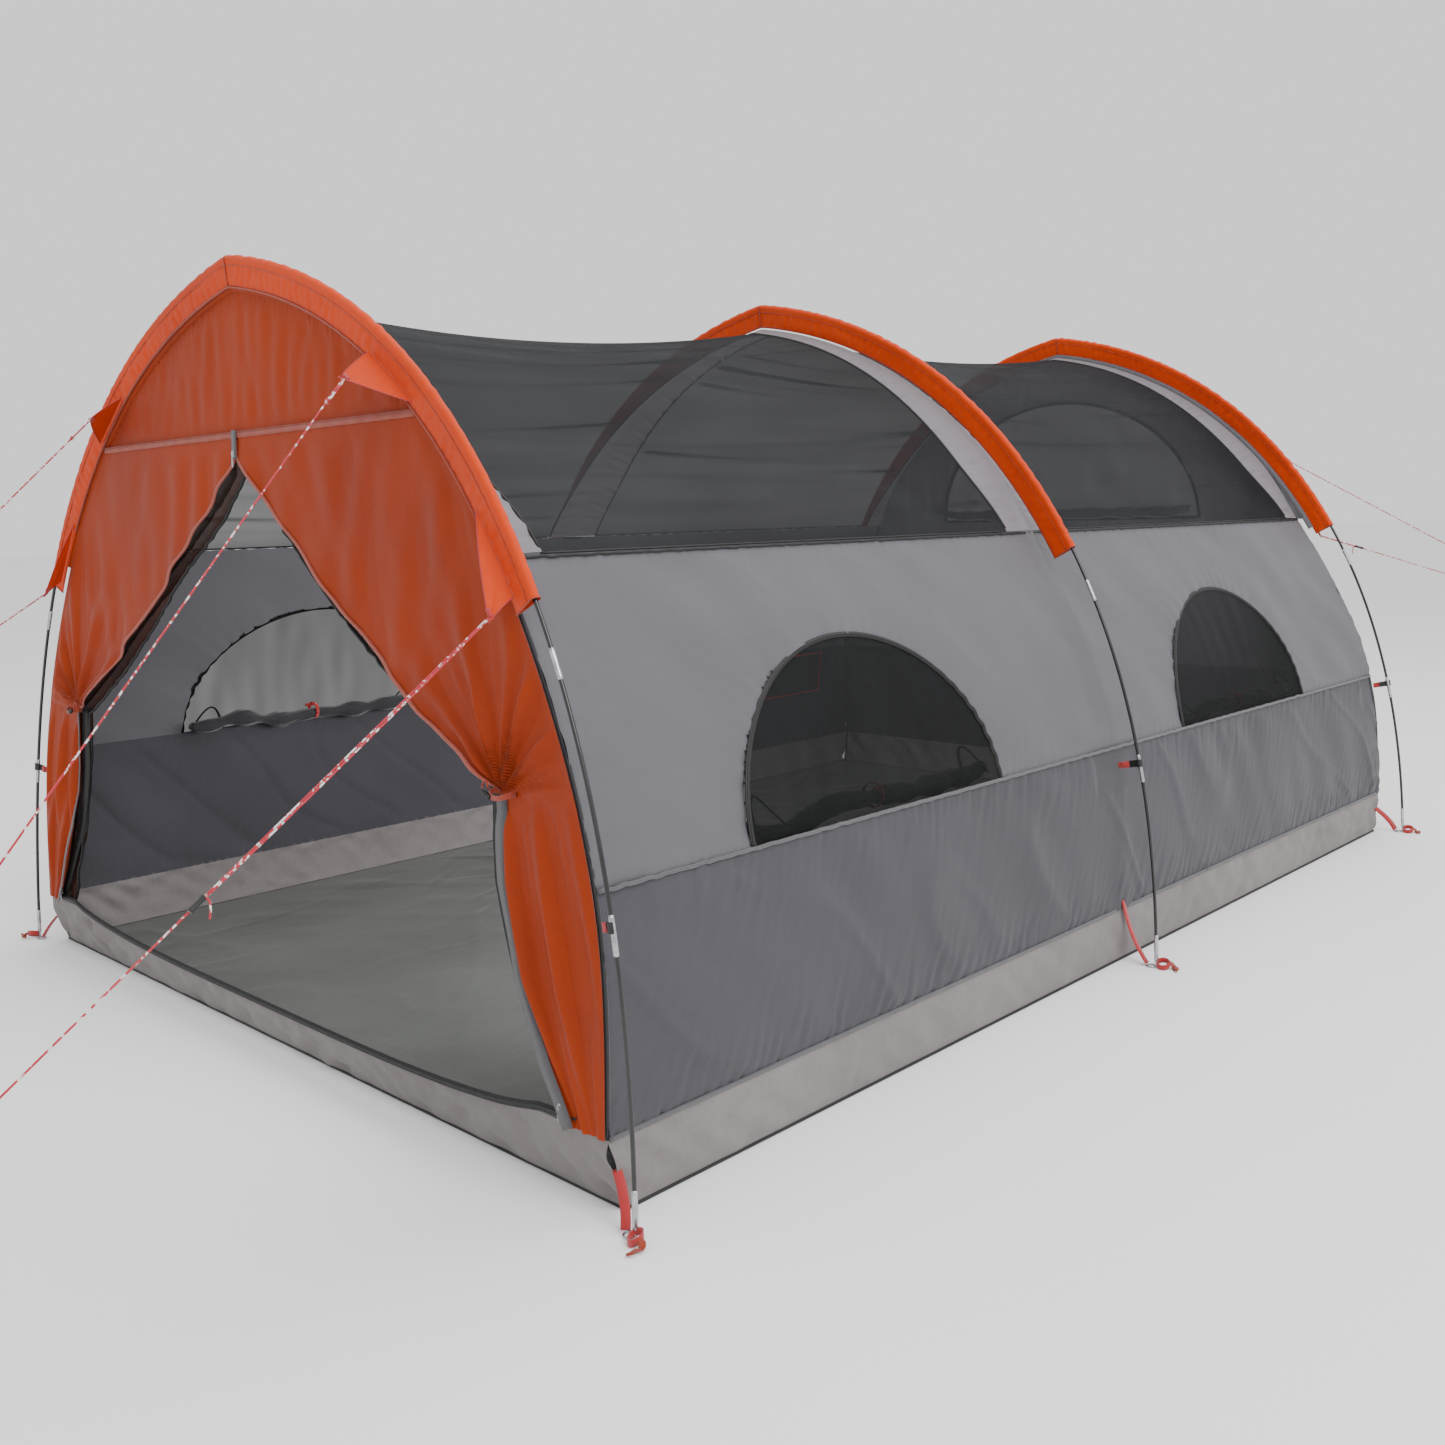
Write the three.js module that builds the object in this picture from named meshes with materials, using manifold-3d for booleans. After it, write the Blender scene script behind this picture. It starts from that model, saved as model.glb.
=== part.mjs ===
// Tunnel tent on three pole hoops. Millimetres, +Z up, the doorway faces -Y.
// The origin lies on the ground, midway between the hoops' feet.
import * as THREE from 'three';
import { mergeVertices } from 'three/addons/utils/BufferGeometryUtils.js';
import Module from 'manifold-3d';

const wasm = await Module();
wasm.setup();

// ---- Driving dimensions ---------------------------------------------------

// Each hoop stands in a plane that leans by `lean` along Y from its feet to its apex.
const HOOPS = {
  front: { feetY: -2125, apexZ: 2000, halfSpan: 1480, lean: 94 },
  middle: { feetY: -65, apexZ: 2054, halfSpan: 1500, lean: -14 },
  rear: { feetY: 2125, apexZ: 2087, halfSpan: 1480, lean: -227 },
};

// Shape of half a hoop, foot to apex, as fractions of the half span and the apex height.
const KNEE_IN = 0.0104;
const KNEE_UP = 0.5745;
const SHOULDER_OUT = 0.612;
const SHOULDER_DOWN = 0.0713;
const STATION_STEP = 0.05;

const POLE_R = 4.75;
const POLE_SIDES = 6;
const FERRULE_R = 5.9;
const POLE_FOOT_T = 0.006;
const POLE_TOP_T = 0.985;
const ELBOW_T = 0.95;
const ELBOW_R = 6.6;
const ELBOW_BORE_R = 5.2;
const FERRULE_SPANS = [[0.166, 0.192], [0.352, 0.376]];
const TIP_T = 0.028;

const SLEEVE_END_T = 0.415;
const SLEEVE_DEPTH = 66;
const SLEEVE_HOLE_R = 8.2;

const FABRIC = 4;
const SEAM_GAP = 0.8;
const FLOOR_THICK = 4;
const FLOOR_GAP = 0.5;

// Half width of the fabric body at each height, below the roof.
const BODY_PROFILE = [[0, 1385], [160, 1388], [645, 1352], [860, 1284], [1080, 1180], [1275, 1064]];
const TUB_Z = 160;
const SILL_DIP = 55;
const SILL_HALF_WIDTH = 1180;
const SILL_STOPS = [-1250, -900, -450, 0, 450, 900, 1250];
const MID_SEAM_Z = 645;
const WALL_TOP_Z = 1275;
const END_WALL_INSET = 12;
const ARCH_OFFSET = -SLEEVE_DEPTH - 3;
const ARCH_FOOT = 14;
const GROUND_INSET = 60;

const ROOF_START_Z = WALL_TOP_Z + 4;
const WALL_BLEND = 260;
const CANOPY_OFFSET = -SLEEVE_DEPTH - 4;
const BAND_WIDTH = 120;
const END_BAND_START = END_WALL_INSET + FABRIC;
const BAND_DROP = 45;
const ROOF_SAG_FRONT = 65;
const ROOF_SAG_REAR = 50;
const SAG_CENTRE_Z = 700;
const SAG_POWER = 0.8;
const BAND_TO_MESH = 3;
const ROOF_MESH_COLUMNS = 14;
const ROOF_MESH_ROWS = 6;

const WINDOW_HALF_WIDTH = 485;
const WINDOW_HEIGHT = 410;
const WINDOW_CENTRES = { front: -1155, rear: 865 };
const REAR_WINDOW_HALF_WIDTH = 650;
const REAR_WINDOW_Z = [1290, 1810];
const SCREEN_GAP = 2;
const WINDOW_SEGMENTS = 14;
const PRISM_FOOT = 30;
const SIDE_PRISM_X = [1000, 1500];
const REAR_PRISM_Y = [1800, 2200];

const DOOR_SEAM_Z = 1575;
const DOOR_PEAK_Z = 1520;
const DOOR_TOP_Z = DOOR_SEAM_Z - 4;
const MESH_DOOR_WIDTH = 220;
const MESH_DOOR_INSET = 70;
const DOOR_BESIDE_WALL = 1;
const DOOR_UNDER_ARCH = 6;
const DOOR_THICK = 8;
const MESH_DOOR_SETBACK = 14;
const MESH_DOOR_REVEAL = 65;

const CLIP_T = 0.184;
const CLIP_Z = 590;
const CLIP_HEIGHT = 22;
const CLIP_INNER_R = 6.7;
const CLIP_OUTER_R = 10.2;
const CLIP_LIP = 0.26;
const WEB_HALF = 1.4;
const STRAP_START = 1;

const PIN_R = 3;
const PIN_LENGTH = 46;
const PIN_BORE_R = 3.7;
const PIN_BORE_DEPTH = 30;
const RING_R = 13;
const RING_WIRE_R = 2.2;

const CORD_R = 2;
const CORD_STEPS = 8;
const RUNNER = { length: 34, width: 15, depth: 9, bore: 2.7 };

// ---- Materials --------------------------------------------------------------

function material(color, roughness, metalness = 0) {
  return new THREE.MeshStandardMaterial({ color, roughness, metalness, side: THREE.DoubleSide });
}

const LOOK = {
  orange: () => material(0xb4501f, 0.7),
  orangeSleeve: () => material(0xc8501e, 0.65),
  upperGrey: () => material(0x858489, 0.75),
  lowerGrey: () => material(0x6b6a70, 0.75),
  tubGrey: () => material(0x97928f, 0.7),
  bandGrey: () => material(0xa5a0a5, 0.7),
  groundsheet: () => material(0x5d605d, 0.55),
  mesh: () => material(0x3c3d3e, 0.85),
  meshDoor: () => material(0x35211a, 0.85),
  blackPole: () => material(0x121214, 0.35),
  steel: () => material(0xb8babd, 0.3, 0.9),
  clipBlack: () => material(0x151516, 0.5),
  cord: () => material(0xc93545, 0.8),
};

// ---- Small geometry helpers --------------------------------------------------

function signedVolume(points, triangles) {
  let total = 0;
  for (const [a, b, c] of triangles) {
    total += points[a].dot(new THREE.Vector3().crossVectors(points[b], points[c]));
  }
  return total / 6;
}

// A closed solid from its corners and triangles, turned so that its faces point out.
function solid(points, triangles) {
  const outward = signedVolume(points, triangles) > 0;
  const index = triangles.flatMap(([a, b, c]) => (outward ? [a, b, c] : [a, c, b]));
  const geometry = new THREE.BufferGeometry().setFromPoints(points);
  geometry.setIndex(index);
  geometry.computeVertexNormals();
  return geometry;
}

// A skin between two grids of points. Open edges are bridged; closeAround joins each row's ends.
function shell(outer, inner, { closeAround = false, closeAlong = false } = {}) {
  const rows = outer.length;
  const columns = outer[0].length;
  const points = [...outer.flat(), ...inner.flat()];
  const at = (side, row, column) => side * rows * columns + (row % rows) * columns + (column % columns);
  const triangles = [];
  const quad = (a, b, c, d) => triangles.push([a, b, c], [a, c, d]);
  const rowSpans = closeAlong ? rows : rows - 1;
  const columnSpans = closeAround ? columns : columns - 1;
  for (let r = 0; r < rowSpans; r += 1) {
    for (let c = 0; c < columnSpans; c += 1) {
      quad(at(0, r, c), at(0, r, c + 1), at(0, r + 1, c + 1), at(0, r + 1, c));
      quad(at(1, r, c), at(1, r + 1, c), at(1, r + 1, c + 1), at(1, r, c + 1));
    }
  }
  if (!closeAlong) {
    for (let c = 0; c < columnSpans; c += 1) {
      quad(at(0, 0, c), at(1, 0, c), at(1, 0, c + 1), at(0, 0, c + 1));
      quad(at(0, rows - 1, c), at(0, rows - 1, c + 1), at(1, rows - 1, c + 1), at(1, rows - 1, c));
    }
  }
  if (!closeAround) {
    for (let r = 0; r < rowSpans; r += 1) {
      quad(at(0, r, 0), at(0, r + 1, 0), at(1, r + 1, 0), at(1, r, 0));
      quad(at(0, r, columns - 1), at(1, r, columns - 1), at(1, r + 1, columns - 1), at(0, r + 1, columns - 1));
    }
  }
  return solid(points, triangles);
}

// A sheet of the given thickness centred on surface(u, v), with u and v from 0 to 1.
function sheet(surface, columns, rows, thickness = FABRIC) {
  const sides = [[], []];
  const step = 1e-3;
  for (let i = 0; i <= columns; i += 1) {
    sides.forEach((side) => side.push([]));
    for (let j = 0; j <= rows; j += 1) {
      const u = i / columns;
      const v = j / rows;
      const along = surface(Math.min(u + step, 1), v).sub(surface(Math.max(u - step, 0), v));
      const up = surface(u, Math.min(v + step, 1)).sub(surface(u, Math.max(v - step, 0)));
      const normal = along.cross(up).normalize().multiplyScalar(thickness / 2);
      sides[0][i].push(surface(u, v).add(normal));
      sides[1][i].push(surface(u, v).sub(normal));
    }
  }
  return shell(sides[0], sides[1]);
}

// A solid rod through rings of points, closed by a fan at each end.
function rod(rings) {
  const sides = rings[0].length;
  const points = rings.flat();
  const triangles = [];
  for (let r = 0; r < rings.length - 1; r += 1) {
    for (let c = 0; c < sides; c += 1) {
      const next = (c + 1) % sides;
      const [a, b] = [r * sides + c, r * sides + next];
      triangles.push([a, b, b + sides], [a, b + sides, a + sides]);
    }
  }
  const last = (rings.length - 1) * sides;
  for (let c = 1; c < sides - 1; c += 1) {
    triangles.push([0, c + 1, c], [last, last + c, last + c + 1]);
  }
  return solid(points, triangles);
}

function toManifold(geometry) {
  const bare = new THREE.BufferGeometry();
  bare.setAttribute('position', geometry.getAttribute('position').clone());
  if (geometry.index) bare.setIndex(geometry.index.clone());
  const merged = mergeVertices(bare, 1e-4);
  const vertProperties = new Float32Array(merged.getAttribute('position').array);
  const triVerts = new Uint32Array(merged.index.array);
  return new wasm.Manifold(new wasm.Mesh({ numProp: 3, vertProperties, triVerts }));
}

function fromManifold(body) {
  const { vertProperties, triVerts, numProp } = body.getMesh();
  const points = [];
  for (let i = 0; i < vertProperties.length; i += numProp) {
    points.push(new THREE.Vector3(...vertProperties.slice(i, i + 3)));
  }
  const triangles = [];
  for (let i = 0; i < triVerts.length; i += 3) {
    triangles.push([...triVerts.slice(i, i + 3)]);
  }
  return solid(points, triangles);
}

const cut = (body, tool) => fromManifold(toManifold(body).subtract(toManifold(tool)));
const join = (body, more) => fromManifold(toManifold(body).add(toManifold(more)));
const overlap = (body, tool) => fromManifold(toManifold(body).intersect(toManifold(tool)));

// ---- Hoops ------------------------------------------------------------------

function halfHoop({ halfSpan, apexZ }) {
  return new THREE.CubicBezierCurve(
    new THREE.Vector2(halfSpan, 0),
    new THREE.Vector2(halfSpan * (1 - KNEE_IN), apexZ * KNEE_UP),
    new THREE.Vector2(halfSpan * SHOULDER_OUT, apexZ * (1 - SHOULDER_DOWN)),
    new THREE.Vector2(0, apexZ),
  );
}

const planeY = (hoop, z) => hoop.feetY + hoop.lean * z / hoop.apexZ;

// A point near a hoop: t runs from foot to apex, outward in the hoop's plane, along Y across it.
function nearHoop(hoop, side, t, outward = 0, acrossY = 0) {
  const curve = halfHoop(hoop);
  const point = curve.getPoint(t);
  const tangent = curve.getTangent(t);
  const mitre = t === 1 ? 1 / Math.abs(tangent.x) : 1;
  const normal = t === 1 ? new THREE.Vector2(0, mitre) : new THREE.Vector2(tangent.y, -tangent.x);
  const x = side * (point.x + normal.x * outward);
  const z = point.y + normal.y * outward;
  return new THREE.Vector3(x, planeY(hoop, z) + acrossY, z);
}

// Where half a hoop, offset inward by the sleeve, is as high as z.
function seamT(hoop, z) {
  let [low, high] = [0, 1];
  for (let i = 0; i < 40; i += 1) {
    const middle = (low + high) / 2;
    if (nearHoop(hoop, 1, middle, -SLEEVE_DEPTH).z < z) low = middle;
    else high = middle;
  }
  return (low + high) / 2;
}

function stations(from, to) {
  const marks = [from, to, SLEEVE_END_T, POLE_TOP_T];
  for (let i = 0; i <= 1 / STATION_STEP; i += 1) marks.push(i * STATION_STEP);
  const inside = marks.filter((t) => t >= from - 1e-9 && t <= to + 1e-9).sort((a, b) => a - b);
  return inside.filter((t, i) => i === 0 || t - inside[i - 1] > 1e-3);
}

// The way from the left side at t = from, over the apex, to the right side.
function overApex(from) {
  const rising = stations(from, 1).map((t) => ({ side: -1, t }));
  const falling = stations(from, 1).reverse().slice(1).map((t) => ({ side: 1, t }));
  return [...rising, ...falling];
}

function circleRing(hoop, side, t, radius, sides) {
  const ring = [];
  for (let i = 0; i < sides; i += 1) {
    const angle = (i / sides) * 2 * Math.PI;
    ring.push(nearHoop(hoop, side, t, radius * Math.cos(angle), radius * Math.sin(angle)));
  }
  return ring;
}

// One side's pole sections plugged together, with the ferrules and the metal tip, bored for its pin.
function pole(hoop, side) {
  const bands = [[POLE_FOOT_T, TIP_T], ...FERRULE_SPANS];
  const marks = bands.flatMap(([a, b]) => [a - 1e-4, a, b, b + 1e-4]);
  const ts = [...stations(POLE_FOOT_T, POLE_TOP_T), ...marks.filter((t) => t > POLE_FOOT_T)];
  const wide = (t) => bands.some(([a, b]) => t >= a && t <= b);
  const rings = [...new Set(ts)].sort((a, b) => a - b)
    .map((t) => circleRing(hoop, side, t, wide(t) ? FERRULE_R : POLE_R, POLE_SIDES));
  const foot = nearHoop(hoop, side, POLE_FOOT_T);
  const bore = new THREE.CylinderGeometry(PIN_BORE_R, PIN_BORE_R, 2 * PIN_BORE_DEPTH, 8);
  bore.rotateX(Math.PI / 2);
  bore.translate(foot.x, foot.y, foot.z);
  return cut(rod(rings), bore);
}

function tubeOverApex(hoop, from, outerLoop, innerLoop) {
  const rows = overApex(from);
  const grid = (loop) => rows.map(({ side, t }) => loop.map(([n, b]) => nearHoop(hoop, side, t, n, b)));
  return shell(grid(outerLoop), grid(innerLoop), { closeAround: true });
}

function roundLoop(radius, sides) {
  return Array.from({ length: sides }, (_, i) => {
    const angle = (i / sides) * 2 * Math.PI;
    return [radius * Math.cos(angle), radius * Math.sin(angle)];
  });
}

const elbow = (hoop) => tubeOverApex(hoop, ELBOW_T, roundLoop(ELBOW_R, 8), roundLoop(ELBOW_BORE_R, 8));

// The pole pocket: round over the pole, flattening to the seam that joins it to the canopy.
// Each corner is its distance outward from the pole and its distance across it.
const SLEEVE_SECTION = [[11, 0], [5, 10], [-30, 6], [-SLEEVE_DEPTH + 2, 0], [-30, -6], [5, -10]];

function sleeve(hoop) {
  const hole = roundLoop(SLEEVE_HOLE_R, SLEEVE_SECTION.length);
  return tubeOverApex(hoop, SLEEVE_END_T, SLEEVE_SECTION, hole);
}

// Guy points: a triangular patch from the sleeve's seam to the eye that takes the line.
const PATCHES = {
  upper: { from: 0.655, to: 0.715 },
  lower: { from: 0.44, to: 0.5 },
};
const EYES = {
  front: { upper: [660, -2130, 1655], lower: [1124, -2128, 1162] },
  rear: { upper: [600, 2020, 1735], lower: [1120, 2080, 1205] },
};
const PATCH_ROOT = -40;
const PATCH_THICK = 3;
const EYE_HALF = 8;

function guyPatch(hoop, end, level, side) {
  const { from, to } = PATCHES[level];
  const [x, y, z] = EYES[end][level];
  const low = nearHoop(hoop, side, from, PATCH_ROOT);
  const high = nearHoop(hoop, side, to, PATCH_ROOT);
  const eye = new THREE.Vector3(side * x, y, z);
  const spread = high.clone().sub(low).setLength(EYE_HALF);
  const surface = (u, v) => {
    const base = low.clone().lerp(high, v);
    const tip = eye.clone().addScaledVector(spread, 2 * v - 1);
    return base.lerp(tip, u);
  };
  return sheet(surface, 1, 1, PATCH_THICK);
}

function sleeveWithPatches(hoop, end) {
  let body = sleeve(hoop);
  for (const level of ['upper', 'lower']) {
    for (const side of [-1, 1]) body = join(body, guyPatch(hoop, end, level, side));
  }
  return body;
}

// ---- Fabric body -------------------------------------------------------------

function bodyHalfWidth(z) {
  for (let i = 1; i < BODY_PROFILE.length; i += 1) {
    const [z0, x0] = BODY_PROFILE[i - 1];
    const [z1, x1] = BODY_PROFILE[i];
    if (z <= z1) return x0 + (x1 - x0) * (z - z0) / (z1 - z0);
  }
  return BODY_PROFILE.at(-1)[1];
}

// The end walls hang just inside the end hoops' planes and step in to the groundsheet.
function endWallY(end, z) {
  const hoop = HOOPS[end];
  const inward = end === 'front' ? 1 : -1;
  const nearGround = Math.max(0, 1 - z / TUB_Z);
  return planeY(hoop, z) + inward * (END_WALL_INSET + (GROUND_INSET - END_WALL_INSET) * nearGround);
}

const lerp = THREE.MathUtils.lerp;

function sideWall(side, low, high, columns, rows) {
  const surface = (u, v) => {
    const z = lerp(low, high, v);
    const y = lerp(endWallY('front', z) + FABRIC, endWallY('rear', z) - FABRIC, u);
    return new THREE.Vector3(side * bodyHalfWidth(z), y, z);
  };
  return sheet(surface, columns, rows);
}

// A half-moon prism that reaches through a side wall, a little past its straight edge.
function sideWindowPrism(side, centreY, margin) {
  const [halfWidth, height] = [WINDOW_HALF_WIDTH - margin, WINDOW_HEIGHT - margin];
  const outline = new THREE.Shape();
  outline.moveTo(halfWidth, -PRISM_FOOT);
  outline.absellipse(0, 0, halfWidth, height, 0, Math.PI, false, 0);
  outline.lineTo(-halfWidth, -PRISM_FOOT);
  const [near, far] = SIDE_PRISM_X;
  const prism = new THREE.ExtrudeGeometry(outline, {
    depth: far - near, bevelEnabled: false, curveSegments: WINDOW_SEGMENTS,
  });
  prism.rotateX(Math.PI / 2);
  prism.rotateZ(Math.PI / 2);
  prism.translate(side > 0 ? near : -far, centreY, MID_SEAM_Z);
  return prism;
}

const wholeUpperSideWall = (side) => sideWall(side, MID_SEAM_Z + SEAM_GAP, WALL_TOP_Z, 2, 5);

function upperSideWall(side) {
  let wall = wholeUpperSideWall(side);
  for (const centre of Object.values(WINDOW_CENTRES)) {
    wall = cut(wall, sideWindowPrism(side, centre, 0));
  }
  return wall;
}

const sideScreen = (side, centre) => (
  overlap(wholeUpperSideWall(side), sideWindowPrism(side, centre, SCREEN_GAP))
);

function rearWall(low, high) {
  const surface = (u, v) => {
    const z = lerp(low, high, v);
    const x = lerp(-1, 1, u) * (bodyHalfWidth(z) - FABRIC);
    return new THREE.Vector3(x, endWallY('rear', z), z);
  };
  return sheet(surface, 1, 4);
}

// The part of an end wall under the canopy arch, above height low.
function archWall(end, low) {
  const hoop = HOOPS[end];
  const rim = overApex(seamT(hoop, low + ARCH_FOOT)).map(({ side, t }) => nearHoop(hoop, side, t, ARCH_OFFSET));
  const grid = (offset) => rim.map(({ x, z: top }) => [low, top].map((z) => (
    new THREE.Vector3(x, endWallY(end, z) + offset, z)
  )));
  return shell(grid(-FABRIC / 2), grid(FABRIC / 2));
}

function rearWindowPrism(margin) {
  const [low, high] = REAR_WINDOW_Z;
  const [near, far] = REAR_PRISM_Y;
  const halfWidth = REAR_WINDOW_HALF_WIDTH - margin;
  const outline = new THREE.Shape();
  outline.moveTo(halfWidth, margin);
  outline.absellipse(0, margin, halfWidth, high - low - 2 * margin, 0, Math.PI, false, 0);
  const prism = new THREE.ExtrudeGeometry(outline, {
    depth: far - near, bevelEnabled: false, curveSegments: WINDOW_SEGMENTS,
  });
  prism.rotateX(Math.PI / 2);
  prism.translate(0, far, low);
  return prism;
}

// The tub: a low wall all round the groundsheet. Its rim is lower along the doorway's sill.
function tubBand() {
  const dip = (x) => SILL_DIP * Math.max(0, 1 - (x / SILL_HALF_WIDTH) ** 4);
  const row = ({ side, x, end }, inset) => {
    const inward = end === 'front' ? 1 : -1;
    const rimZ = TUB_Z - SEAM_GAP - (side ? 0 : dip(x));
    return [0, rimZ].map((z) => new THREE.Vector3(
      side ? side * (bodyHalfWidth(z) - inset) : x,
      endWallY(end, z) + inward * inset,
      z,
    ));
  };
  const stops = [
    { side: -1, end: 'front' },
    ...SILL_STOPS.map((x) => ({ x, end: 'front' })),
    { side: 1, end: 'front' },
    { side: 1, end: 'rear' },
    { side: -1, end: 'rear' },
  ];
  const grid = (inset) => stops.map((stop) => row(stop, inset));
  return shell(grid(-FABRIC / 2), grid(FABRIC / 2), { closeAlong: true });
}

function floorSheet() {
  const clear = FABRIC / 2 + FLOOR_GAP;
  const halfX = bodyHalfWidth(0) - clear;
  const frontY = endWallY('front', 0) + clear;
  const rearY = endWallY('rear', 0) - clear;
  const slab = new THREE.BoxGeometry(2 * halfX, rearY - frontY, FLOOR_THICK);
  slab.translate(0, (frontY + rearY) / 2, FLOOR_THICK / 2);
  return slab;
}

// ---- Roof --------------------------------------------------------------------

// The canopy beside a hoop, `reach` along Y from it: it starts on top of the side wall,
// follows the sleeve's seam over the tent, and dips as it leaves the hoop.
function canopyPoint(hoop, side, t, reach) {
  const seam = nearHoop(hoop, side, t, CANOPY_OFFSET);
  const risen = THREE.MathUtils.smoothstep(seam.z, ROOF_START_Z, ROOF_START_Z + WALL_BLEND);
  const drop = BAND_DROP * risen * Math.abs(reach) / BAND_WIDTH;
  const point = nearHoop(hoop, side, t, CANOPY_OFFSET - drop, reach);
  const start = nearHoop(hoop, 1, canopyStart(hoop), CANOPY_OFFSET);
  point.x -= side * (start.x - bodyHalfWidth(WALL_TOP_Z)) * (1 - risen);
  return point;
}

const canopyStart = (hoop) => seamT(hoop, ROOF_START_Z);

// The cloth band under a sleeve, between two distances along Y from its hoop.
function archBand(hoop, from, to) {
  const rows = overApex(canopyStart(hoop));
  const reaches = from < 0 && to > 0 ? [from, 0, to] : [from, to];
  const grid = (offset) => rows.map(({ side, t }) => {
    const lift = nearHoop(hoop, side, t, offset).sub(nearHoop(hoop, side, t));
    return reaches.map((reach) => canopyPoint(hoop, side, t, reach).add(lift));
  });
  return shell(grid(FABRIC / 2), grid(-FABRIC / 2));
}

// A mesh roof between two hoops: it leaves each band's edge and sags into a saddle between them.
function roofMesh(fromHoop, toHoop, sag) {
  const fromRows = overApex(canopyStart(fromHoop));
  const toRows = overApex(canopyStart(toHoop));
  const pick = (list, u) => {
    const at = u * (list.length - 1);
    const i = Math.min(Math.floor(at), list.length - 2);
    return [list[i], list[i + 1], at - i];
  };
  const edge = (hoop, list, u, reach) => {
    const [a, b, f] = pick(list, u);
    return canopyPoint(hoop, a.side, a.t, reach).lerp(canopyPoint(hoop, b.side, b.t, reach), f);
  };
  const clear = BAND_WIDTH + BAND_TO_MESH;
  const surface = (u, v) => {
    const start = edge(fromHoop, fromRows, u, clear);
    const finish = edge(toHoop, toRows, u, -clear);
    const point = start.lerp(finish, v);
    const pull = sag * 4 * v * (1 - v) * Math.sin(Math.PI * u) ** SAG_POWER;
    const inward = new THREE.Vector3(-point.x, 0, SAG_CENTRE_Z - point.z).normalize();
    return point.addScaledVector(inward, pull);
  };
  return sheet(surface, ROOF_MESH_COLUMNS, ROOF_MESH_ROWS);
}

// ---- Doorway -------------------------------------------------------------------

// Free edge of a tied-back door as [height, distance from the middle], from the hanging corner
// up to the tie at a height of 800, then along the folds to the peak and up the closed zip.
const DOOR_EDGE = [[160, 1290], [280, 1215], [430, 1130], [620, 1085], [800, 1075],
  [940, 820], [1180, 470], [1400, 165], [DOOR_PEAK_Z, 2], [DOOR_TOP_Z, 2]];

function doorEdgeX(z) {
  for (let i = 1; i < DOOR_EDGE.length; i += 1) {
    const [z0, x0] = DOOR_EDGE[i - 1];
    const [z1, x1] = DOOR_EDGE[i];
    if (z <= z1) return x0 + (x1 - x0) * (z - z0) / (z1 - z0);
  }
  return DOOR_EDGE.at(-1)[1];
}

function doorOuterX(z) {
  if (z <= WALL_TOP_Z) return bodyHalfWidth(z) - DOOR_BESIDE_WALL;
  const hoop = HOOPS.front;
  return nearHoop(hoop, 1, seamT(hoop, z), -SLEEVE_DEPTH - DOOR_UNDER_ARCH).x;
}

function curtain(side, innerX, outerX, setback, thickness) {
  const heights = DOOR_EDGE.map(([z]) => z);
  const grid = (offset) => heights.map((z) => [innerX(z), outerX(z)].map((x) => (
    new THREE.Vector3(side * x, endWallY('front', z) + setback + offset, z)
  )));
  return shell(grid(-thickness / 2), grid(thickness / 2));
}

function door(side) {
  return curtain(side, doorEdgeX, doorOuterX, -FABRIC, DOOR_THICK);
}

// The mesh door hangs behind the door and shows past its free edge.
function meshDoor(side) {
  const inner = (z) => doorEdgeX(z) - (z < DOOR_PEAK_Z ? MESH_DOOR_REVEAL : 0);
  const outer = (z) => Math.min(doorOuterX(z) - MESH_DOOR_INSET, inner(z) + MESH_DOOR_WIDTH);
  return curtain(side, inner, outer, MESH_DOOR_SETBACK, FABRIC);
}

// ---- Hardware ------------------------------------------------------------------

// Where a clip grips its pole, the pole's direction there, and the line on the wall it is sewn to.
function clipPlace(hoop, side, seamY) {
  const grip = nearHoop(hoop, side, CLIP_T);
  const axis = nearHoop(hoop, side, CLIP_T + 0.01).sub(nearHoop(hoop, side, CLIP_T - 0.01)).normalize();
  const seam = new THREE.Vector3(side * (bodyHalfWidth(grip.z) + 3), seamY, grip.z);
  seam.addScaledVector(axis, grip.clone().sub(seam).dot(axis));
  return { grip, axis, seam };
}

// A strap from the wall ends in a hook that snaps over the pole. The hook opens away from its swing.
function clip({ grip, axis, seam }, swing) {
  const reach = grip.clone().sub(seam);
  const length = reach.length();
  const shape = new THREE.Shape();
  const half = Math.asin(WEB_HALF / CLIP_OUTER_R);
  shape.moveTo(STRAP_START, -WEB_HALF);
  shape.lineTo(length - CLIP_OUTER_R * Math.cos(half), -WEB_HALF);
  shape.absarc(length, 0, CLIP_OUTER_R, Math.PI + half, Math.PI + CLIP_LIP, false);
  shape.absarc(length, 0, CLIP_INNER_R, Math.PI + CLIP_LIP, -CLIP_LIP, true);
  shape.absarc(length, 0, CLIP_OUTER_R, -CLIP_LIP, Math.PI - half, false);
  shape.lineTo(STRAP_START, WEB_HALF);
  const hook = new THREE.ExtrudeGeometry(shape, { depth: CLIP_HEIGHT, bevelEnabled: false, curveSegments: 6 });
  hook.translate(0, 0, -CLIP_HEIGHT / 2);
  const outward = reach.normalize();
  const up = axis.clone().multiplyScalar(swing);
  hook.applyMatrix4(new THREE.Matrix4().makeBasis(outward, up.clone().cross(outward), up));
  hook.translate(seam.x, seam.y, seam.z);
  return hook;
}

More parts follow.
